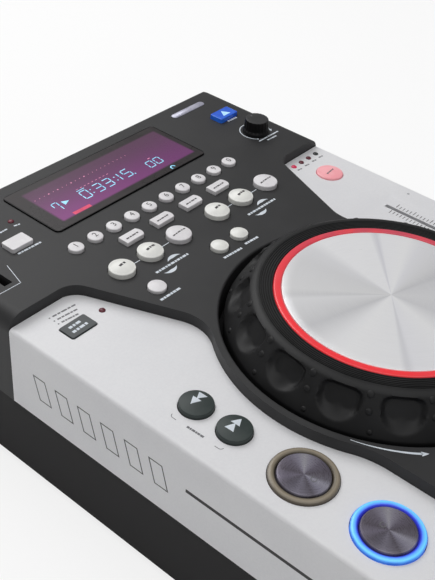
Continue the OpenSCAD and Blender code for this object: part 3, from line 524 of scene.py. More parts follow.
def addLamp(name, place, target, size, power):
    data = bpy.data.lights.new(name, "AREA")
    data.shape = "RECTANGLE"
    data.size, data.size_y = size
    data.energy = power
    lamp = bpy.data.objects.new(name, data)
    link(lamp)
    aim = Vector(target) - Vector(place)
    lamp.matrix_world = Matrix.Translation(place) @ aim.to_track_quat("-Z", "Y").to_matrix().to_4x4()


setStudio()
print("camera and light set")


def moulded(name, colour, other, rough, spread, mottle, grain, depth, metallic=0, coat=0, glow=0, shine=0.5):
    # a base finish: two close tones in soft patches, uneven gloss and a fine grain
    material, shader, place = newMaterial(name)
    patch = noise(place, mottle, 4.0)
    tone = patch.smooth(0.35, 0.65).blend(paint(*colour), paint(*other))
    feed(shader, "Base Color", tone)
    feed(shader, "Roughness", (patch - 0.5) * spread + rough)
    steady(shader, {"Metallic": metallic, "Coat Weight": coat, "Specular IOR Level": shine})
    if glow:
        feed(shader, "Emission Color", tone)
        steady(shader, {"Emission Strength": glow})
    bump(shader, noise(place, grain, 2.0), 0.35, depth * mm)
    return material


# two close tones, roughness and how far it varies, scale of the patches and of the grain, depth of the grain
# in mm, and where they aren't the usual ones metallic, coat, glow and shine
baseLook = {
    "deckBlack": ((49, 49, 50), (54, 54, 55), 0.5, 0.1, 25, 2400, 0.04, 0, 0, 0, 0.3),
    "trayBlack": ((37, 36, 37), (41, 40, 41), 0.6, 0.1, 20, 1800, 0.04, 0, 0, 0, 0.2),
    "blackPlastic": ((27, 27, 28), (33, 33, 34), 0.45, 0.15, 60, 3000, 0.04),
    "knobBlack": ((17, 17, 18), (22, 22, 23), 0.4, 0.12, 90, 2600, 0.03, 0, 0, 0, 0.3),
    "footRubber": ((30, 30, 30), (36, 36, 36), 0.75, 0.1, 80, 2500, 0.1),
    "jogRubber": ((25, 25, 26), (31, 31, 32), 0.45, 0.16, 70, 2200, 0.04, 0, 0, 0, 0.3),
    "steel": ((170, 170, 174), (186, 186, 190), 0.34, 0.12, 90, 1500, 0.02, 1),
    "bronze": ((166, 132, 84), (178, 142, 92), 0.36, 0.12, 90, 1500, 0.02, 1),
    "socketGold": ((196, 176, 120), (208, 190, 136), 0.25, 0.1, 120, 1500, 0.01, 1),
    "sheetBlack": ((42, 42, 43), (48, 48, 49), 0.5, 0.1, 30, 2200, 0.05),
    "boardGreen": ((24, 84, 50), (30, 98, 58), 0.4, 0.1, 160, 900, 0.03, 0, 0.3),
    "keyWhite": ((226, 223, 226), (236, 234, 236), 0.4, 0.1, 160, 3000, 0.015),
    "keyCream": ((238, 238, 234), (246, 246, 241), 0.36, 0.1, 160, 3000, 0.015),
    "keySlate": ((44, 54, 53), (52, 62, 60), 0.5, 0.1, 120, 3000, 0.03),
    "modeSlate": ((52, 58, 60), (62, 67, 69), 0.4, 0.1, 120, 3000, 0.02),
    "keyPink": ((242, 160, 168), (250, 178, 184), 0.36, 0.1, 120, 2500, 0.02, 0, 0, 0.12),
    "ejectBlue": ((26, 82, 208), (44, 112, 226), 0.2, 0.08, 120, 2500, 0.01, 0, 0.6, 0.12),
    "inkWhite": ((214, 222, 230), (224, 230, 238), 0.6, 0.1, 300, 3000, 0.005),
    "inkBlue": ((168, 214, 248), (188, 228, 252), 0.4, 0.1, 300, 3000, 0.005, 0, 0, 0.3),
    "inkGrey": ((108, 108, 112), (122, 122, 126), 0.6, 0.1, 300, 3000, 0.005),
    "inkDark": ((58, 55, 57), (72, 68, 70), 0.6, 0.1, 300, 3000, 0.005),
    "badgeSilver": ((176, 176, 194), (196, 196, 212), 0.3, 0.1, 200, 2000, 0.01, 0.3),
    "lampDark": ((92, 30, 44), (112, 40, 54), 0.25, 0.1, 400, 3000, 0.01),
    "lampOff": ((34, 40, 40), (46, 50, 50), 0.25, 0.1, 400, 3000, 0.01),
    "lampLit": ((196, 40, 78), (214, 60, 96), 0.25, 0.1, 400, 3000, 0.01, 0, 0, 0.25),
    "socketWhite": ((214, 212, 208), (224, 222, 218), 0.4, 0.1, 200, 2000, 0.02),
    "socketRed": ((170, 30, 34), (184, 38, 40), 0.4, 0.1, 200, 2000, 0.02),
    "glyphCyan": ((120, 190, 222), (150, 210, 236), 0.4, 0.1, 300, 2000, 0.005, 0, 0, 0.55),
    "glyphRed": ((176, 36, 76), (196, 48, 88), 0.4, 0.1, 300, 2000, 0.005, 0, 0, 0.5),
    "glyphPink": ((196, 112, 150), (214, 138, 168), 0.4, 0.1, 300, 2000, 0.005, 0, 0, 0.5),
}
finishes = {name: moulded(name, *row) for name, row in baseLook.items()}
print("base finishes made")

nodeFinish = {
    "tray_black": "trayBlack", "deck_black": "deckBlack", "panel_silver": "blackPlastic",
    "smoked_window": "blackPlastic", "rear_sheet": "sheetBlack", "socket_metal": "socketGold",
    "black_plastic": "blackPlastic", "rubber": "footRubber", "steel": "steel", "board_green": "boardGreen",
    "jog_rubber": "jogRubber", "red_light": "lampDark", "spun_metal": "steel", "bronze": "bronze",
    "lamp_plastic": "lampDark", "eject_blue": "ejectBlue", "key_white": "keyWhite", "key_slate": "keySlate",
    "start_metal": "steel", "key_pink": "keyPink",
}


def dressNodes():
    # every CAD node that stays in view takes the finish of its slot
    slots = {entry["node"]: entry["material_slot"] for entry in frame["record"]["subparts"]}
    for name, item in frame["nodes"].items():
        finish = finishes[nodeFinish[slots[name]]]
        if not item.material_slots:
            item.data.materials.append(finish)
        for holder in item.material_slots:
            holder.material = finish


dressNodes()
print("nodes dressed")

caseLook = {
    "deckTop": 88.4, "side": 111.0,
    "waistRear": (75.5, 65.7), "waistLean": 0.407,
    "lipRound": 1.5, "lipSteps": 4, "wellRound": 1.0,
    "stripeHeight": (61.7, 63.5), "stripeEnd": -34.0,
    "markRows": (54.2, 66.8), "markStart": -26.0, "markCount": 6, "markPitch": 13.2, "markWide": 7.4,
    "markLine": 0.6, "markSlant": 0.3,
    "paint": ((228, 228, 231), (236, 236, 238)), "ink": (46, 45, 46),
    "well": (0.0, -48.4), "wellRadius": (71.0, 72.0), "rimRadius": 74.2, "lipRear": 66.5, "lipSide": 105,
    "pieces": [   # node, body, finish, slot, round of the edges in mm
        ("base_tray", rootBody, "trayBlack", "tray_black", 0.4),
        ("slot_bezel", rootBody, "blackPlastic", "tray_black", 0.3),
        ("rear_panel", rootBody, "sheetBlack", "rear_sheet", 0.2),
        ("mains_inlet", rootBody, "blackPlastic", "black_plastic", 0.3),
        ("switch_housing", rootBody, "blackPlastic", "black_plastic", 0.3),
        ("power_switch", "rocker", "blackPlastic", "black_plastic", 0.4),
        ("feet", rootBody, "footRubber", "rubber", 0.3),
        ("screws", rootBody, "steel", "steel", 0.12),
    ],
}


def panelFinish(name, face):
    # silver paint; on the outer side a dark stripe and a row of outlined slanted bars
    material, shader, place = newMaterial(name)
    look = caseLook
    patch = noise(place, 18.0, 4.0)
    speck = noise(place, 900.0, 2.0)
    tone = (patch * 0.7 + speck * 0.3).smooth(0.3, 0.7).blend(*[paint(*colour) for colour in look["paint"]])
    x, y, z = place.axes()
    outer = x * face > look["side"] - 0.6
    low, high = look["stripeHeight"]
    stripe = z.band(low, high, 0.05) * (y < look["stripeEnd"])
    rows = look["markRows"]
    width, thin, pitch = look["markWide"], look["markLine"], look["markPitch"]
    along = (z - rows[0]) * -look["markSlant"] + y - look["markStart"]
    step = along.maths("FLOORED_MODULO", pitch)
    first, soft = 0.5, 0.04   # where a bar starts in its pitch, and half its edge's blur
    inside = step.band(first, first + width, soft) * z.band(rows[0], rows[1], soft)
    core = (step.band(first + thin, first + width - thin, soft)
            * z.band(rows[0] + thin, rows[1] - thin, soft))
    marks = (inside - core) * (along > 0.0) * (along < pitch * look["markCount"])
    ink = (stripe.most(marks) * outer).least(1.0)
    feed(shader, "Base Color", ink.blend(tone, paint(*look["ink"])))
    feed(shader, "Roughness", (patch - 0.5) * 0.08 + 0.42)
    steady(shader, {"Specular IOR Level": 0.35})
    bump(shader, speck, 0.3, 0.02 * mm)
    return material


def deckEdge(start, end, normals):
    # the middle of an edge on the deck's top, how far it is from the well's axis, and which faces are upright
    look = caseLook
    if min(start.z, end.z) < look["deckTop"] - 0.02 or len(normals) != 2:
        return None, 0, ()
    middle = (start + end) / 2
    away = math.hypot(middle.x - look["well"][0], middle.y - look["well"][1])
    return middle, away, [abs(normal.z) < 0.2 for normal in normals]


def onLip(start, end, normals):
    # the raised edge of the deck along the waist, the round rim and the neck
    look = caseLook
    middle, away, upright = deckEdge(start, end, normals)
    if middle is None or upright[0] == upright[1]:
        return False
    rear = look["waistRear"]
    waist = rear[0] - look["waistLean"] * (rear[1] - middle.y) - 2.5
    across = abs(middle.x)
    return (away > look["rimRadius"] and middle.y < look["lipRear"] and across < look["lipSide"]
            and (middle.y < -1 or across > waist))


def onWell(start, end, normals):
    # the top of the jog well
    middle, away, upright = deckEdge(start, end, normals)
    low, high = caseLook["wellRadius"]
    return low < away < high and any(upright)


def softenDeck(piece):
    for test, width in ((onLip, caseLook["lipRound"]), (onWell, caseLook["wellRound"])):
        found = selectEdges(piece, test)
        bpy.ops.mesh.bevel(offset=width * mm, segments=caseLook["lipSteps"], affect="EDGES",
                           clamp_overlap=True)
        bpy.ops.mesh.select_all(action="DESELECT")
        bpy.ops.mesh.select_mode(type="VERT")
        leaveEdit()
        print("  deck edges rounded:", found)


def makeCase():
    edged("top_housing", rootBody, "deckBlack", "deck_black", 0.25, first=softenDeck)
    edged("left_panel", rootBody, panelFinish("panelSilverLeft", -1), "panel_silver", 0.25)
    edged("right_panel", rootBody, panelFinish("panelSilverRight", 1), "panel_silver", 0.25)
    for entry in caseLook["pieces"]:
        edged(*entry)


makeCase()
print("case made")

jogLook = {
    "centre": (0.0, -48.4), "steps": 512,
    "slantIn": (59.4, 101.6), "slantOut": (69.0, 86.8), "slantRings": 32, "swell": 0.6,
    "dimples": 16, "firstDimple": 172.3, "halfWide": 8.7, "dimpleMiddle": 6.2, "reachIn": 6.0,
    "reachOut": 8.5, "dimpleDepth": 2.6, "wallIn": 0.24, "wallOut": 0.95,
    "nubs": ((0.9, -1.0, 1.6), (7.6, -0.4, 1.4), (15.2, 1.2, 1.15)), "nubHeight": 0.6,
    "grooves": (50.8, 51.9, 52.9, 53.9, 54.8), "grooveWide": 0.46, "grooveDeep": 0.35, "face": 103,
    "seat": [(0, 98), (49.9, 98), (49.9, 102.75), (50.15, 103)],
    "rim": [(55.35, 103), (55.4, 102.6), (55.6, 102.6), (55.65, 102.85), (56.4, 102.85), (57.2, 102.72),
            (58.0, 102.45), (58.8, 102.05)],
    "under": [(69, 86.0), (69, 76.6), (68.6, 76), (66.6, 76), (66.2, 76.4), (66.2, 84.5), (58.2, 95), (9, 95),
              (9, 76), (3.03, 76), (3.03, 95), (0, 95)],
}


def slantSpan():
    return Vector(jogLook["slantOut"]) - Vector(jogLook["slantIn"])


def slantPlace(along):
    # radius and height of the slanted shoulder, given the distance down it from its top edge
    span = slantSpan()
    bulge = jogLook["swell"] * math.sin(math.pi * min(max(along / span.length, 0), 1))
    place = Vector(jogLook["slantIn"]) + span * (along / span.length)
    return place + Vector((-span.y, span.x)) * (bulge / span.length)


def dimpleDepth(along, turn, radius):
    # how deep the finger recesses are at a place on the slanted shoulder
    look = jogLook
    pitch = 360 / look["dimples"]
    turn = (turn - look["firstDimple"] + pitch / 2) % pitch - pitch / 2
    across = abs(math.radians(turn) * radius) / look["halfWide"]
    down = along - look["dimpleMiddle"]
    if down < 0:
        down, power, wall = -down / look["reachIn"], 3.6, look["wallIn"]
    else:
        down, power = down / look["reachOut"], 2.0
        share = down * down / (down * down + across * across + 0.001)
        wall = look["wallIn"] + (look["wallOut"] - look["wallIn"]) * share
    rise = (1 - (across ** power + down ** power) ** (1 / power)) / wall
    rise = min(max(rise, 0), 1)
    return look["dimpleDepth"] * rise * (2 - rise)


def makeJogWheel():
    look = jogLook
    points, face = list(look["seat"]), look["face"]
    for radius in look["grooves"]:
        half, deep = look["grooveWide"] / 2, look["grooveDeep"]
        points += [(radius - half, face), (radius - half / 2, face - deep),
                   (radius + half / 2, face - deep), (radius + half, face)]
    points += look["rim"]
    span = slantSpan()
    points += [tuple(slantPlace(span.length * i / look["slantRings"])) for i in range(look["slantRings"] + 1)]
    wheel = lathe(points + look["under"], look["centre"], look["steps"])
    cx, cy = look["centre"]
    along, inward = span.normalized(), Vector((span.y, -span.x)).normalized()
    for vertex in wheel.data.vertices:
        x, y, z = vertex.co.x / mm - cx, vertex.co.y / mm - cy, vertex.co.z / mm
        radius = math.hypot(x, y)
        if z > look["slantOut"][1] and radius > look["slantIn"][0]:
            run = (Vector((radius, z)) - Vector(look["slantIn"])).dot(along)
            push = inward * dimpleDepth(run, math.degrees(math.atan2(y, x)), radius)
            vertex.co += Vector((push.x * x / radius, push.x * y / radius, push.y)) * mm
    wheel.data.update()
    evenShade(wheel, 35)
    settle(wheel, "jog_wheel_body", "jog", "jogRubber", "jog_rubber", "jog_wheel")


def makeNub(size):
    # one small rubber stud, upright at the origin
    deselect()
    bpy.ops.mesh.primitive_circle_add(vertices=16, radius=size * mm, fill_type="NGON")
    openAll()
    for height, scale in ((0.35, 0.95), (0.3, 0.84), (0.2, 0.7), (0.1, 0.5), (0.05, 0.4)):
        drawOut((0, 0, height * jogLook["nubHeight"] * mm))
        bpy.ops.transform.resize(value=(scale, scale, 1))
    return closeUp()


def makeNubs():
    look = jogLook
    span = slantSpan()
    steep = math.atan2(-span.y, span.x)
    copies = []
    for along, shift, size in look["nubs"]:
        nub = makeNub(size)
        radius, height = slantPlace(along)
        tilt = steep if along > 2 else steep * 0.8
        for i in range(look["dimples"]):
            turn = look["firstDimple"] + (i + 0.5) * 360 / look["dimples"] + shift
            copied = nub.copy()
            copied.data = nub.data.copy()
            link(copied)
            place = Matrix.Translation(at(*around(look["centre"], radius, turn), height))
            lean = Matrix.Rotation(math.radians(turn), 4, "Z") @ Matrix.Rotation(tilt, 4, "Y")
            copied.data.transform(place @ lean @ Matrix.Translation((0, 0, -0.12 * mm)))
            copies.append(copied)
        bpy.data.objects.remove(nub)
    nubs = join(copies)
    settle(nubs, "jog_nubs", "jog", "jogRubber", "jog_rubber", smooth=60)


def polar(place, centre):
    # distance from an upright axis, and the offsets along x and y
    x, y, z = place.axes()
    x, y = x - centre[0], y - centre[1]
    return (x * x + y * y).power(0.5), x, y


def spun(name, centre, reflectionWedges, rings, rough, metallic, fade):
    # turned metal: light and dark wedges of painted reflection that meet at the centre, over fine rings whose
    # lighter streaks are painted sheen; the rings' bump is real grooving
    material, shader, place = newMaterial(name)
    radius, x, y = polar(place, centre)
    turn = y.maths("ARCTAN2", x) * (1 / (2 * math.pi)) + 0.5
    tone = turn.ramp(*[((angle + 180) / 360, paint(*colour)) for angle, colour in reflectionWedges])
    shine = noise(radius.node("ShaderNodeCombineXYZ", None, {0: radius * 0.35, 1: turn * 3.0}), 6.0, 2.0)
    tone = (shine.smooth(0.3, 0.75) * fade).blend(tone, paint(*rings))
    feed(shader, "Base Color", tone)
    feed(shader, "Roughness", (shine - 0.5) * 0.1 + rough)
    steady(shader, {"Metallic": metallic})
    bump(shader, (radius * 14.0).sine(), 0.25, 0.006 * mm)
    return material


discLook = {
    "radius": 46.2, "low": 98.0, "edge": 102.55, "round": (0.45, 0.35), "crown": 0.5, "crownRings": 12,
    # the ring streak tone below is painted sheen
    "steps": 192, "rings": (236, 236, 239),
    "reflectionWedges": [   # angle and colour of the painted reflection
        (-180, (247, 247, 249)), (-172, (252, 252, 253)), (-143, (250, 250, 252)), (-140, (226, 226, 231)),
        (-136, (246, 246, 250)), (-108, (252, 252, 253)), (-96, (240, 240, 242)), (-80, (222, 222, 225)),
        (-50, (229, 229, 231)), (-22, (222, 222, 225)), (-16, (212, 212, 215)), (-4, (228, 228, 230)),
        (14, (240, 240, 244)), (22, (253, 253, 254)), (38, (250, 250, 253)), (41, (226, 226, 233)),
        (45, (252, 252, 254)), (76, (252, 252, 254)), (86, (234, 234, 237)), (98, (228, 228, 230)),
        (128, (232, 232, 233)), (134, (220, 220, 222)), (138, (236, 236, 238)), (156, (222, 222, 224)),
        (162, (214, 214, 217)), (174, (238, 238, 240)), (180, (247, 247, 249)),
    ],
}


def makeDisc():
    look = discLook
    radius, low, edge = look["radius"], look["low"], look["edge"]
    inward, upward = look["round"]
    points = [(0, low), (radius, low), (radius, edge), (radius - inward / 3, edge + 0.25)]
    for i in range(look["crownRings"] + 1):
        k = 1 - i / look["crownRings"]
        points.append(((radius - inward) * k, edge + upward + look["crown"] * (1 - k * k)))
    disc = lathe(points, jogLook["centre"], look["steps"])
    finish = spun("spunDisc", jogLook["centre"], look["reflectionWedges"], look["rings"], 0.3, 0.25, 0.25)
    settle(disc, "jog_disc_top", "jog", finish, "spun_metal", "jog_disc", smooth=35)


ringLook = {
    "inner": 46.4, "outer": 49.7, "low": 98.0, "high": 103.1, "round": 0.7, "steps": 192,
    # far and near are the ring's painted shaded and painted lit tones; the lit one lies towards the side
    # angle given here
    "far": (186, 66, 84), "near": (232, 44, 52), "patch": (222, 62, 70), "litSide": 188, "glow": 0.28,
}


def makeRing():
    look = ringLook
    r, inner, outer, high = look["round"], look["inner"], look["outer"], look["high"]
    points = [(inner, look["low"]), (outer, look["low"]), (outer, high - r)]
    points += [around((outer - r, high - r), r, 22.5 * i) for i in range(1, 5)]
    points += [around((inner + r, high - r), r, 90 + 22.5 * i) for i in range(5)]
    points.append((inner, look["low"]))
    ring = lathe(points, jogLook["centre"], look["steps"])
    material, shader, place = newMaterial("ringRed")
    x, y, z = place.axes()
    turn = (y - jogLook["centre"][1]).maths("ARCTAN2", x)
    # painted light and shade: the ring's tone turns from the shaded far colour to the lit near colour towards
    # one side
    side = ((turn - math.radians(look["litSide"])).maths("COSINE") * 0.5 + 0.5).smooth(0.1, 0.95)
    tone = side.blend(paint(*look["far"]), paint(*look["near"]))
    tone = noise(place, 60.0).smooth(0.35, 0.8).blend(tone, paint(*look["patch"]))
    feed(shader, "Base Color", tone)
    feed(shader, "Emission Color", tone)
    steady(shader, {"Emission Strength": look["glow"], "Roughness": 0.28, "Coat Weight": 0.3})
    settle(ring, "jog_ring_lit", "jog", material, "red_light", "jog_light_ring", smooth=35)


makeJogWheel()
makeNubs()
makeRing()
makeDisc()
print("jog wheel made")

startLook = {
    "cue": -71.5, "play": -107.8, "x": -90.4, "capRadius": 10.3, "capTop": 84.6, "low": 78.7,
    "flange": (1.2, 1), "ringIn": 10.6, "ringOut": 13.5, "ringTop": 84.4, "ringLow": 80.0, "steps": 96,
    # the ring streak tone below is painted sheen on the metal caps
    "rings": (120, 116, 128),
    "lit": [(0.0, (36, 36, 150)), (0.2, (44, 60, 196)), (0.42, (86, 150, 236)), (0.75, (104, 196, 246)),
            (0.92, (74, 150, 228)), (1.0, (40, 96, 196))],
    # the unlit cue ring's tones, darker towards both edges as painted shade
    "dim": [(0.0, (66, 60, 52)), (0.2, (104, 96, 82)), (0.55, (146, 136, 120)), (0.85, (120, 111, 96)),
            (1.0, (78, 70, 60))],
    "reflectionWedges": [   # angle and colour of the painted reflection on the metal caps
        (-180, (104, 100, 112)), (-160, (128, 124, 138)), (-126, (96, 91, 101)), (-104, (146, 143, 160)),
        (-84, (168, 166, 180)), (-66, (110, 106, 116)), (-38, (90, 84, 94)), (-10, (108, 102, 116)),
        (20, (150, 146, 160)), (34, (172, 170, 178)), (52, (146, 142, 158)), (74, (112, 106, 120)),
        (110, (94, 88, 98)), (140, (124, 118, 134)), (160, (98, 93, 104)), (180, (104, 100, 112)),
    ],
}


def ringFinish(name, centre, stops, glow):
    # a glowing ring whose colour runs from its inner to its outer edge; for the unlit cue ring the glow is
    # painted light
    material, shader, place = newMaterial(name)
    radius, x, y = polar(place, centre)
    across = (radius - startLook["ringIn"]) / (startLook["ringOut"] - startLook["ringIn"])
    across = across + (noise(place, 300.0) - 0.5) * 0.12
    tone = across.ramp(*[(stop, paint(*colour)) for stop, colour in stops])
    feed(shader, "Base Color", tone)
    feed(shader, "Emission Color", tone)
    steady(shader, {"Emission Strength": glow, "Roughness": 0.25})
    return material


def makeStartKeys():
    look = startLook
    r, top, low = look["capRadius"], look["capTop"], look["low"]
    wide, thick = look["flange"]
    a, b, high, foot = look["ringIn"], look["ringOut"], look["ringTop"], look["ringLow"]
    capPoints = [(0, low), (r + wide, low), (r + wide, low + thick), (r, low + thick), (r, top - 0.7),
                 (r - 0.1, top - 0.35), (r - 0.35, top - 0.1), (r - 0.8, top), (r * 0.6, top - 0.12),
                 (0, top - 0.15)]
    ringPoints = [(a, foot), (b, foot), (b, high - 0.9), (b - 0.25, high - 0.35), (b - 0.8, high - 0.03),
                  (b - 1.4, high), (a + 1.2, high), (a + 0.5, high - 0.15), (a + 0.1, high - 0.6), (a, foot)]
    # the cue ring is unlit: its small glow is painted light, and its tones darken towards both edges as
    # painted shade
    for name, stops, glow in (("cue", look["dim"], 0.1), ("play", look["lit"], 0.55)):
        centre = (look["x"], look[name])
        cap = lathe(capPoints, centre, look["steps"])
        finish = spun(name + "Metal", centre, look["reflectionWedges"], look["rings"], 0.28, 0.45, 0.3)
        settle(cap, name + "_cap", name + "_key", finish, "start_metal", name + "_button", smooth=30)
        ring = lathe(ringPoints, centre, look["steps"])
        settle(ring, name + "_ring", rootBody, ringFinish(name + "Ring", centre, stops, glow), "lamp_plastic",
               "indicator_lights", smooth=35)


makeStartKeys()
print("start keys made")

lampLook = {
    "lamps": [   # name, x, y, foot of the dome, finish
        ("lamp_right_1", 82.7, 60.4, 83.0, "lampLit"), ("lamp_right_2", 89.37, 60.4, 83.0, "lampDark"),
        ("lamp_right_3", 96.04, 60.4, 83.0, "lampDark"), ("lamp_right_4", 102.71, 60.4, 83.0, "lampOff"),
        ("lamp_mode", -74.8, 47.1, 83.0, "lampDark"), ("lamp_source", -63.4, 118.8, 88.4, "lampDark"),
    ],
    "radius": 1.5, "rise": 0.8, "deep": 4.0, "steps": 32, "domeRings": 6,
}


def makeLamps():
    look = lampLook
    for name, x, y, z, finish in look["lamps"]:
        dome = [(0, z - look["deep"]), (look["radius"], z - look["deep"])]
        for i in range(look["domeRings"] + 1):
            way = math.radians(90 * i / look["domeRings"])
            dome.append((look["radius"] * math.cos(way), z + look["rise"] * math.sin(way)))
        lamp = lathe(dome, (x, y), look["steps"])
        settle(lamp, name, rootBody, finish, "lamp_plastic", "indicator_lights", smooth=40)


makeLamps()
print("lamps made")

keyLook = {
    "numbers": "1234567890", "numberTop": 90.3, "digitSize": 4.4,
    "loopX": (-53.8, -35.5, -16, 12, 30.3, 50.3), "loopY": 55.8, "loopTop": 92.4, "loopFlat": 5.55,
    "loopDome": 1.6, "lowTop": 91.2, "lowDome": 0.5, "loopMark": (1.9, 2.7, 4.3),
    "modeX": (-32.7, -11.9, 8.9, 29.7), "modeY": 69.9, "modeTop": 90.3,
    "print": 0.06,
    "others": [   # name, finish, slot, round of the edges in mm, steps in the round
        ("reverse", "keyCream", "key_white", 0.2, 2), ("brake", "keyCream", "key_white", 0.2, 2),
        ("tap", "keyWhite", "key_white", 0.2, 2), ("source", "keyWhite", "key_white", 0.3, 2),
        ("eject", "ejectBlue", "eject_blue", 0.45, 3), ("jog_mode", "modeSlate", "key_slate", 0.2, 2),
        ("tempo", "keyPink", "key_pink", 0.2, 2), ("search_forward", "keySlate", "key_slate", 0.25, 3),
        ("search_back", "keySlate", "key_slate", 0.25, 3),
    ],
}


def domed(centre, top, dome, flat):
    # height of a print just above a domed key
    def height(x, y):
        k = math.hypot(x - centre[0], y - centre[1]) / flat
        return top - dome * k * k + keyLook["print"]
    return height


def printOnDome(mark, cuts, height):
    pick(mark)
    openAll()
    bpy.ops.mesh.subdivide(number_cuts=cuts)
    leaveEdit()
    drape(mark, height)


def makeKeys():
    look = keyLook
    for i, digit in enumerate(look["numbers"]):
        node, body = f"number_button_{i + 1}", f"number_key_{i + 1}"
        edged(node, body, "keyWhite", "key_white", 0.15)
        x, y, z = middleOf(node)
        made = numeral(digit, x, y, look["numberTop"] + look["print"] / 2, look["digitSize"], 4)
        settle(made, f"digit_{i + 1}", body, "inkDark", "key_white")
    for i, x in enumerate(look["modeX"]):
        body, y, z = f"mode_key_{i + 1}", look["modeY"], look["modeTop"] + look["print"]
        edged(f"mode_button_{i + 1}", body, "keyWhite", "key_white", 0.3)
        marks = dashes((x - 4.2, y - 0.5), (x + 3.6, y - 0.2), z, 0.8, 4 + i % 2, 0.4)
        settle(join(marks), f"mode_mark_{i + 1}", body, "inkDark", "key_white")
    for i, x in enumerate(look["loopX"]):
        body, y, low = f"loop_key_{i + 1}", look["loopY"], i % 3 == 2
        edged(f"loop_button_{i + 1}", body, "keyWhite" if low else "keyCream", "key_white", 0.2)
        top, dome = (look["lowTop"], look["lowDome"]) if low else (look["loopTop"], look["loopDome"])
        half = look["loopMark"][i % 3]
        tall, bars = (0.75, 5) if low else (1.2, 2 + i % 3)
        marks = dashes((x - half, y - 0.3), (x + half, y + 0.1), top, tall, bars, 0.45)
        for mark in marks:
            printOnDome(mark, 2, domed((x, y), top, dome, look["loopFlat"]))
        settle(join(marks), f"loop_mark_{i + 1}", body, "inkDark", "key_white")
    for name, finish, slot, width, steps in look["others"]:
        edged(name + "_button", name + "_key", finish, slot, width, steps)


markLook = {
    "searchX": -90.4, "searchBack": -19.9, "searchForward": -39.1, "searchTop": 86.0, "searchDome": 0.9,
    "searchFlat": 6.55, "arrowX": (-91.2, -87.5), "arrowShift": 0.7, "arrowLong": 4.1, "arrowWide": 4.3,
    "eject": (4.6, 6.0, 90), "lift": 0.03, "capShift": {"cue": -4.1, "play": 2.7},
}


def keyTop(name):
    # the middle of a key's top, a little above it
    x, y, z = middleOf(name + "_button")
    return x, y, boxOf(name + "_button")[1][2] + markLook["lift"]


def makeKeyMarks():
    look = markLook
    z, long, wide = look["searchTop"], look["arrowLong"], look["arrowWide"]
    searchKeys = (("search_back", look["searchBack"], 180), ("search_forward", look["searchForward"], 0))
    for name, y, turn in searchKeys:
        marks = [triangle(x, y + look["arrowShift"], z, long, wide, turn) for x in look["arrowX"]]
        for mark in marks:
            printOnDome(mark, 3, domed((look["searchX"], y), z, look["searchDome"], look["searchFlat"]))
        settle(join(marks), name + "_mark", name + "_key", "inkWhite", "key_slate")
    x, y, z = keyTop("eject")
    settle(triangle(x, y, z, *look["eject"]), "eject_mark", "eject_key", "inkBlue", "eject_blue")
    x, y, z = keyTop("jog_mode")
    marks = dashes((x - 3.9, y + 1.5), (x + 2.6, y + 1.7), z, 1.4, 3, 0.4)
    marks += dashes((x - 4.6, y - 1.5), (x + 4.0, y - 1.2), z, 1.4, 4, 0.4)
    settle(join(marks), "jog_mode_mark", "jog_mode_key", "inkWhite", "key_slate")
    x, y, z = keyTop("tempo")
    marks = dashes((x - 3.2, y - 0.4), (x + 3.4, y + 0.3), z + 0.01, 0.9, 5, 0.4)
    settle(join(marks), "tempo_mark", "tempo_key", "inkGrey", "key_pink")
    for name, shift in look["capShift"].items():
        place = (startLook["x"] + 0.4, startLook[name] + shift)   # a plain small ring on each metal cap
        settle(arcStrip(place, startLook["capTop"] - 0.02, 1.1, 0.35, 20, 320, 16), name + "_mark",
               name + "_key", "inkGrey", "start_metal")


makeKeys()
makeKeyMarks()
print("keys made")

displayLook = {
    "lens": ((-54.4, 96.3), (51.2, 136.0)), "glow": ((-46.2, 101.4), (47.4, 131.0)),
    # face holds the two tones of the lens's painted reflection
    "lift": 0.03, "edge": 0.6, "face": ((58, 55, 56), (66, 62, 63)),
    "tones": ((146, 78, 140), (118, 66, 116), (98, 70, 92)),
    "rim": (10, 10, 11), "under": (24, 16, 24), "strength": 0.82,
    "digits": [   # digit, x, y, width, height, thickness
        ("7", -42.2, 108.4, 3.2, 7.2, 0.55), ("0", -25.2, 107.6, 4.4, 6.6, 0.6),
        ("3", -16.3, 107.6, 4.4, 6.6, 0.6), ("3", -9.6, 107.6, 4.4, 6.6, 0.6),
        ("1", -2.2, 107.6, 2.6, 6.6, 0.6), ("5", 3.4, 107.6, 4.4, 6.6, 0.6),
        ("0", 19.0, 105.8, 3.8, 5.4, 0.55), ("0", 24.6, 105.8, 3.8, 5.4, 0.55),
    ],
    "colons": (-18.6, -2.0), "bar": ((-38.6, 102.6), (-27.6, 102.4), 2.2),
    "upperDots": (22, -44.4, 2.95, 123.3, (3, 5, 8, 11)), "lowerDots": (9, -22.8, 2.6, 116.9),
}


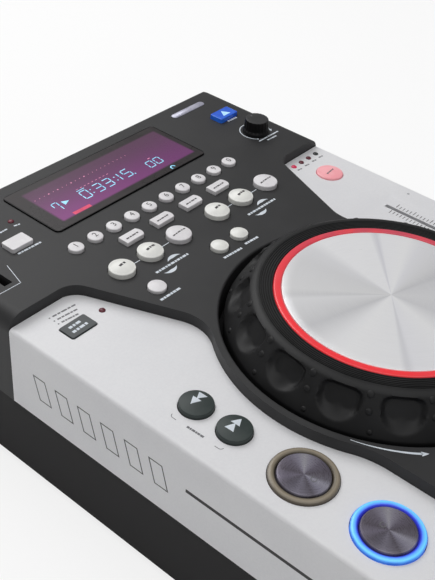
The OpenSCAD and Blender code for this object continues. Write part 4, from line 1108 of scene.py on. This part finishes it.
def windowFinish(top):
    # a dark lens with black edges and a face of painted reflection in soft streaks, and the lit field glowing
    # through its middle
    material, shader, place = newMaterial("displayLens")
    look = displayLook
    x, y, z = place.axes()
    up = z > top - 0.1
    low, high = look["glow"]
    field = x.band(low[0], high[0], 0.9) * y.band(low[1], high[1], 0.9) * up
    cloud = noise(place, 30.0, 2.0)
    rear = ((y - low[1]) / (high[1] - low[1]) + (cloud - 0.5) * 0.25).smooth(-0.15, 1.05)
    left = ((x - low[0]) / (high[0] - low[0])).smooth(0.0, 1.1)
    tones = [paint(*colour) for colour in look["tones"]]
    tone = rear.blend(left.blend(tones[0], tones[1]), tones[2])
    # the face's two tones, mixed in streaks, are painted reflection; the same streaks vary the roughness
    reflectionStreak = (cloud * 0.6 + noise(place, 240.0) * 0.4).smooth(0.35, 0.7)
    face = reflectionStreak.blend(*[paint(*colour) for colour in look["face"]])
    low, high = look["lens"]
    edge = look["edge"]
    inner = x.band(low[0] + edge, high[0] - edge, 0.1) * y.band(low[1] + edge, high[1] - edge, 0.1) * up
    shell = inner.blend(paint(*look["rim"]), face)
    feed(shader, "Base Color", field.blend(shell, paint(*look["under"])))
    feed(shader, "Emission Color", field.blend((0.0, 0.0, 0.0, 1.0), tone))
    feed(shader, "Roughness", (reflectionStreak - 0.5) * 0.06 + 0.3)
    steady(shader, {"Emission Strength": look["strength"], "Specular IOR Level": 0.1})
    return material


sevenBars = {"0": "abcdef", "1": "bc", "3": "abcdg", "5": "acdfg", "7": "abcf"}


def sevenDigit(digit, x, y, z, wide, tall, thick, lean=0.1):
    # bars of one digit; x and y give its lower left corner
    gap = thick * 0.55
    spots = {
        "a": ((gap, tall), (wide - gap, tall)), "b": ((wide, tall - gap), (wide, tall / 2 + gap)),
        "c": ((wide, tall / 2 - gap), (wide, gap)), "d": ((wide - gap, 0), (gap, 0)),
        "e": ((0, gap), (0, tall / 2 - gap)), "f": ((0, tall / 2 + gap), (0, tall - gap)),
        "g": ((gap, tall / 2), (wide - gap, tall / 2)),
    }
    made = []
    for bit in sevenBars[digit]:
        (x0, y0), (x1, y1) = spots[bit]
        made.append(line((x + x0 + lean * y0, y + y0), (x + x1 + lean * y1, y + y1), z, thick))
    return made


def makeDisplay():
    look = displayLook
    top = boxOf("display_window")[1][2]
    edged("display_window", rootBody, windowFinish(top), "smoked_window", 0.2)
    z = top + look["lift"]
    cyan = []
    for digit, x, y, wide, tall, thick in look["digits"]:
        cyan += sevenDigit(digit, x, y, z, wide, tall, thick)
    for x in look["colons"]:
        cyan += [bar(x, 109.2, z, 0.7, 0.7), bar(x + 0.3, 112.4, z, 0.7, 0.7)]
    cyan += [triangle(-34.2, 112.6, z, 3.8, 3.6, 0), bar(9.0, 107.6, z, 0.8, 0.8),
             line((-24.4, 115.6), (-19.4, 115.6), z, 0.5), arcStrip((27.6, 98.4), z, 1.4, 0.7, 0, 220, 12)]
    settle(join(cyan), "display_digits", rootBody, "glyphCyan", "lamp_plastic")
    start, end, wide = look["bar"]
    settle(line(start, end, z, wide), "display_bar", rootBody, "glyphRed", "lamp_plastic")
    count, x, pitch, y, large = look["upperDots"]
    dots = []
    for i in range(count):
        size = 0.75 if i in large else 0.4
        dots.append(bar(x + pitch * i, y, z, size, size))
    count, x, pitch, y = look["lowerDots"]
    dots += [bar(x + pitch * i, y, z, 1.2, 0.3) for i in range(count)]
    dots.append(bar(24.4, 113.0, z, 1.6, 0.6))
    settle(join(dots), "display_dots", rootBody, "glyphPink", "lamp_plastic")


makeDisplay()
print("display made")

knobLook = {
    "centre": (89.6, 92.8), "low": 89.0, "top": 96.8, "radius": 6.7, "skirt": 7.4,
    "shaft": 3.0, "shaftLow": 80.3, "flutes": 20, "fluteDeep": 0.22, "steps": 120,
}


def knobFinish():
    # near black at its side as painted shade, and grey on the flat top as painted light
    material, shader, place = newMaterial("knobLitTopShadedSide")
    x, y, z = place.axes()
    patch = noise(place, 90.0)
    # the flat top takes the painted light and the side the painted shade
    flat = z.smooth(knobLook["top"] - 0.3, knobLook["top"] - 0.1)
    tone = flat.blend(paint(15, 15, 16), patch.smooth(0.3, 0.7).blend(paint(54, 54, 55), paint(61, 61, 62)))
    feed(shader, "Base Color", tone)
    feed(shader, "Roughness", (patch - 0.5) * 0.12 + 0.45)
    steady(shader, {"Specular IOR Level": 0.25})
    bump(shader, noise(place, 2600.0, 2.0), 0.3, 0.03 * mm)
    return material


def makeKnob():
    look = knobLook
    r, top, low = look["radius"], look["top"], look["low"]
    skirt, shaft, foot = look["skirt"], look["shaft"], look["shaftLow"]
    profile = [(0, foot), (shaft, foot), (shaft, low), (skirt, low), (skirt, low + 1.0),
               (skirt - 0.15, low + 1.25), (r, low + 2.0)]
    profile += [(r - 0.03 * i, low + 2.0 + 0.95 * i) for i in range(1, 5)]
    profile += [(r - 0.3, top - 0.3), (r - 0.55, top - 0.08), (r - 0.9, top), (r * 0.4, top - 0.05),
                (0, top - 0.05)]
    knob = lathe(profile, look["centre"], look["steps"])
    cx, cy = look["centre"]
    for vertex in knob.data.vertices:
        x, y, z = vertex.co.x / mm - cx, vertex.co.y / mm - cy, vertex.co.z / mm
        radius = math.hypot(x, y)
        if z > low + 1.5 and radius > r - 1.0:
            dip = 0.5 - 0.5 * math.cos(look["flutes"] * math.atan2(y, x))
            dip = look["fluteDeep"] * dip * dip
            vertex.co.x -= x / radius * dip * mm
            vertex.co.y -= y / radius * dip * mm
    settle(knob, "selector_knob_body", "knob", knobFinish(), "black_plastic", "selector_knob", smooth=35)
    pointer = slab(cx, cy + 4.6, top - 0.12, 0.6, 2.2, 0.1, 0.03)
    settle(pointer, "knob_pointer", "knob", "inkGrey", "key_white")


faderLook = {"x": 89.6, "mid": -38.9, "top": 91.2, "hollow": 2.0, "hollowRadius": 11.0, "wide": 9.0,
             "ribs": (2.3, 3.6, 4.9, 6.2)}


def makeFader():
    look = faderLook
    edged("fader_cap", "fader_slider", "knobBlack", "black_plastic", 0.35, 3)
    x, mid, floor, wide = look["x"], look["mid"], look["top"] - look["hollow"], look["wide"]
    ribs = []
    for side in (-1, 1):
        for step in look["ribs"]:
            rise = look["hollowRadius"] - math.sqrt(look["hollowRadius"] ** 2 - step ** 2)
            ribs.append(slab(x, mid + side * step, floor + rise - 0.25, wide - 0.5, 0.5, 0.5, 0.12))
    settle(join(ribs), "fader_ribs", "fader_slider", "knobBlack", "black_plastic")
    stripe = slab(x, mid, floor - 0.1, wide - 0.3, 0.9, 0.2, 0.04)
    settle(stripe, "fader_line", "fader_slider", "inkWhite", "key_white")


makeKnob()
makeFader()
print("knob and fader made")

inkLook = {
    "deck": 88.44, "panel": 83.04, "pocket": 81.24,
    "keyLines": ((-46.0, -42.4), (-27.9, -22.9), (19.9, 23.4), (38.2, 42.9)), "keyLineY": 55.7,
    "loopMarks": ((-33.1, 43.9), (33.0, 44.0)), "bow": (4.9, 2.0),
    "bows": ((3.0, -0.5, 31, 118), (-4.6, 0.2, 211, 118)),
    "deckRows": [   # start, end, height, bars, gap
        ((-57.0, 29.6), (-44.8, 29.4), 1.25, 6, 0.3), ((-13.9, 29.9), (-1.9, 29.1), 1.25, 7, 0.3),
        ((1.7, 30.0), (10.6, 29.4), 1.25, 5, 0.3), ((87.4, 111.0), (94.8, 110.7), 1.25, 5, 0.3),
        ((82.8, 84.9), (99.4, 84.7), 1.0, 7, 0.2), ((87.1, 82.6), (94.7, 82.2), 1.0, 4, 0.2),
        ((-64.8, 115.0), (-61.7, 114.4), 0.9, 2, 0.3), ((-73.0, 115.2), (-68.7, 115.4), 0.9, 3, 0.3),
        ((-77.9, 97.1), (-64.5, 96.9), 1.1, 7, 0.3),
    ],
    "cardLines": (((-87.0, 94.0), (-90.9, 80.4)), ((-90.8, 80.5), (-103.0, 80.7))),
    "knobArc": ((90.0, 93.3), 8.7), "arrowCentre": (0.0, -48.4), "arrowSteps": 14, "arrowTip": 223.7,
    "plate": (80.8, 135.0, 88.2, 26.0, 4.2, 0.6),
    "lampRows": (82.9, 89.6, 96.2, 102.4),
    "modeRows": ((59.0, -94.2, -80.2), (56.2, -94.0, -81.8), (53.6, -94.0, -83.6)),
    "searchX": -101.0, "hooks": ((-17.4, 1, 90), (-40.2, -1, 180)),
    "ticks": 41, "tickPitch": 2, "tickLong": (3.6, 2.5),
}


def crescent(centre, z, radius, wide, start, sweep, steps=14):
    # a printed bow with a round outer edge, widest in its middle and pointed at both ends
    there = [(i / steps, 0) for i in range(steps + 1)]
    back = [(1 - i / steps, wide) for i in range(1, steps)]
    corners = []
    for t, inward in there + back:
        way = math.radians(start + sweep * t)
        reach = radius - inward * math.sin(math.pi * t)
        corners.append((centre[0] + reach * math.cos(way), centre[1] + reach * math.sin(way)))
    return polygon(corners, z)


def pill(x, y, z, width, depth, height):
    # a low bar with round ends and a soft top edge
    deselect()
    bpy.ops.mesh.primitive_circle_add(vertices=48, radius=depth / 2 * mm, fill_type="NGON",
                                      location=at(x, y, z))
    made = bpy.context.object
    applyPlace()
    for vertex in made.data.vertices:
        vertex.co.x += math.copysign((width - depth) / 2 * mm, vertex.co.x - x * mm)
    openAll()
    drawOut((0, 0, height * 0.7 * mm))
    drawOut((0, 0, height * 0.3 * mm))
    bpy.ops.transform.resize(value=(1 - 0.5 / width, 1 - 0.5 / depth, 1))
    closeUp()
    smoothByAngle(made, 35)
    return made


def loopMark(x, y, z):
    # two bows that chase each other round a row of dashes
    radius, wide = inkLook["bow"]
    made = [crescent((x + dx, y + dy), z, radius, wide, start, sweep)
            for dx, dy, start, sweep in inkLook["bows"]]
    return made + dashes((x - 11.1, y + 0.2), (x + 9.9, y - 0.2), z, 1.25, 11, 0.4)


def makeDeckPrints():
    look = inkLook
    z, y = look["deck"], look["keyLineY"]
    white = [line((x0, y), (x1, y), z, 0.4) for x0, x1 in look["keyLines"]]
    for x, y in look["loopMarks"]:
        white += loopMark(x, y, z)
    for start, end, tall, bars, gap in look["deckRows"]:
        white += dashes(start, end, z, tall, bars, gap)
    centre, radius = look["knobArc"]
    white += [arcStrip(centre, z, radius, 0.55, 78, 148, 32),
              arcStrip(around(centre, radius, 226), z, 0.35, 0.7, 0, 360, 12),
              arcStrip(centre, z, radius, 0.4, -28, 20, 6), triangle(97.4, 88.2, z, 2.4, 2.0, -118)]
    white += [line(start, end, z, 0.35) for start, end in look["cardLines"]]
    settle(join(white), "deck_prints", rootBody, "inkWhite", "key_white")

    # the turning arrow on the rim, thin at its tail
    arrow = []
    centre, steps = look["arrowCentre"], look["arrowSteps"]
    for i in range(steps):
        corners = []
        for k, sides in ((i, (-1, 1)), (i + 1, (1, -1))):
            t = k / steps
            middle, half = 73.4 + 2.4 * t - 0.5 * t * t, 0.12 + 0.42 * t
            corners += [around(centre, middle + side * half, 202.0 + 20.8 * t) for side in sides]
        arrow.append(polygon(corners, z))
    tip = around(centre, 75.3, look["arrowTip"])
    arrow.append(triangle(tip[0], tip[1], z, 3.0, 2.4, look["arrowTip"] + 91))
    settle(join(arrow), "turn_arrow", rootBody, "inkWhite", "key_white")

    settle(pill(*look["plate"]), "name_plate", rootBody, "badgeSilver", "spun_metal")


def makePanelPrints():
    look = inkLook
    z, x = look["panel"], look["searchX"]
    grey = []
    for left in look["lampRows"]:
        grey += dashes((left - 1.6, 56.8), (left + 1.6, 56.5), z, 0.9, 2)
    for y, start, end in look["modeRows"]:
        grey += dashes((start + 1.6, y - 0.1), (end, y - 1.0), z, 0.9, 5)
        grey.append(bar(start, y, z, 0.7, 0.7))
    grey += dashes((x, -24.5), (x + 0.2, -32.6), z, 1.0, 6, 0.25)
    for y, way, turn in look["hooks"]:
        grey.append(arcStrip((x + 1.1, y), z, 1.4, 0.3, turn, 90, 8))
        grey.append(line((x - 0.3, y), (x - 0.3, y - 1.8 * way), z, 0.3))
    grey.append(arcStrip((105.1, 2.2), z, 0.45, 0.4, 0, 360, 10))
    settle(join(grey), "panel_prints", rootBody, "inkGrey", "key_slate")


def makeFaderScale():
    # ticks on both sides of the slot, every fifth one longer
    look = inkLook
    z, x = look["pocket"], faderLook["x"]
    ticks = []
    for i in range(look["ticks"]):
        y = faderLook["mid"] + 40 - look["tickPitch"] * i
        long = look["tickLong"][0 if i % 5 == 0 else 1]
        ticks += [bar(x + 2.2 + long / 2, y, z, long, 0.35), bar(x - 2.0 - long / 2, y, z, long, 0.35)]
    settle(join(ticks), "fader_scale", rootBody, "inkDark", "key_slate")


makeDeckPrints()
makePanelPrints()
makeFaderScale()
print("prints made")

rearLook = {
    "plate": 134.0, "height": 24.0, "sockets": ((-62, "socketWhite"), (-48, "socketRed"), (-30, "knobBlack")),
    "jacks": (-12, -2), "ringOut": 5.7, "ringIn": 4.2, "ringThick": 1.2,
    "nut": [(3.1, 0), (4.1, 0), (4.1, 0.6), (3.8, 0.85), (3.3, 0.85), (3.1, 0.7), (3.1, 0)],
}


def turnToRear(piece, x, z):
    # a piece lathed upright at the origin is laid down to point at the rear
    lay = Matrix.Translation(at(x, rearLook["plate"], z)) @ Matrix.Rotation(math.radians(-90), 4, "X")
    piece.data.transform(lay)


def makeRear():
    look = rearLook
    for i, (x, finish) in enumerate(look["sockets"]):
        a, b, t = look["ringIn"], look["ringOut"], look["ringThick"]
        points = [(a, 0), (b, 0), (b, t - 0.3), (b - 0.3, t), (a + 0.2, t), (a, t - 0.2), (a, 0)]
        ring = lathe(points, (0, 0), 48)
        turnToRear(ring, x, look["height"])
        settle(ring, f"socket_ring_{i + 1}", rootBody, finish, "black_plastic", smooth=35)
    for i, x in enumerate(look["jacks"]):
        nut = lathe(look["nut"], (0, 0), 6)
        turnToRear(nut, x, look["height"])
        settle(nut, f"jack_nut_{i + 1}", rootBody, "steel", "steel")


makeRear()
print("rear fittings made")
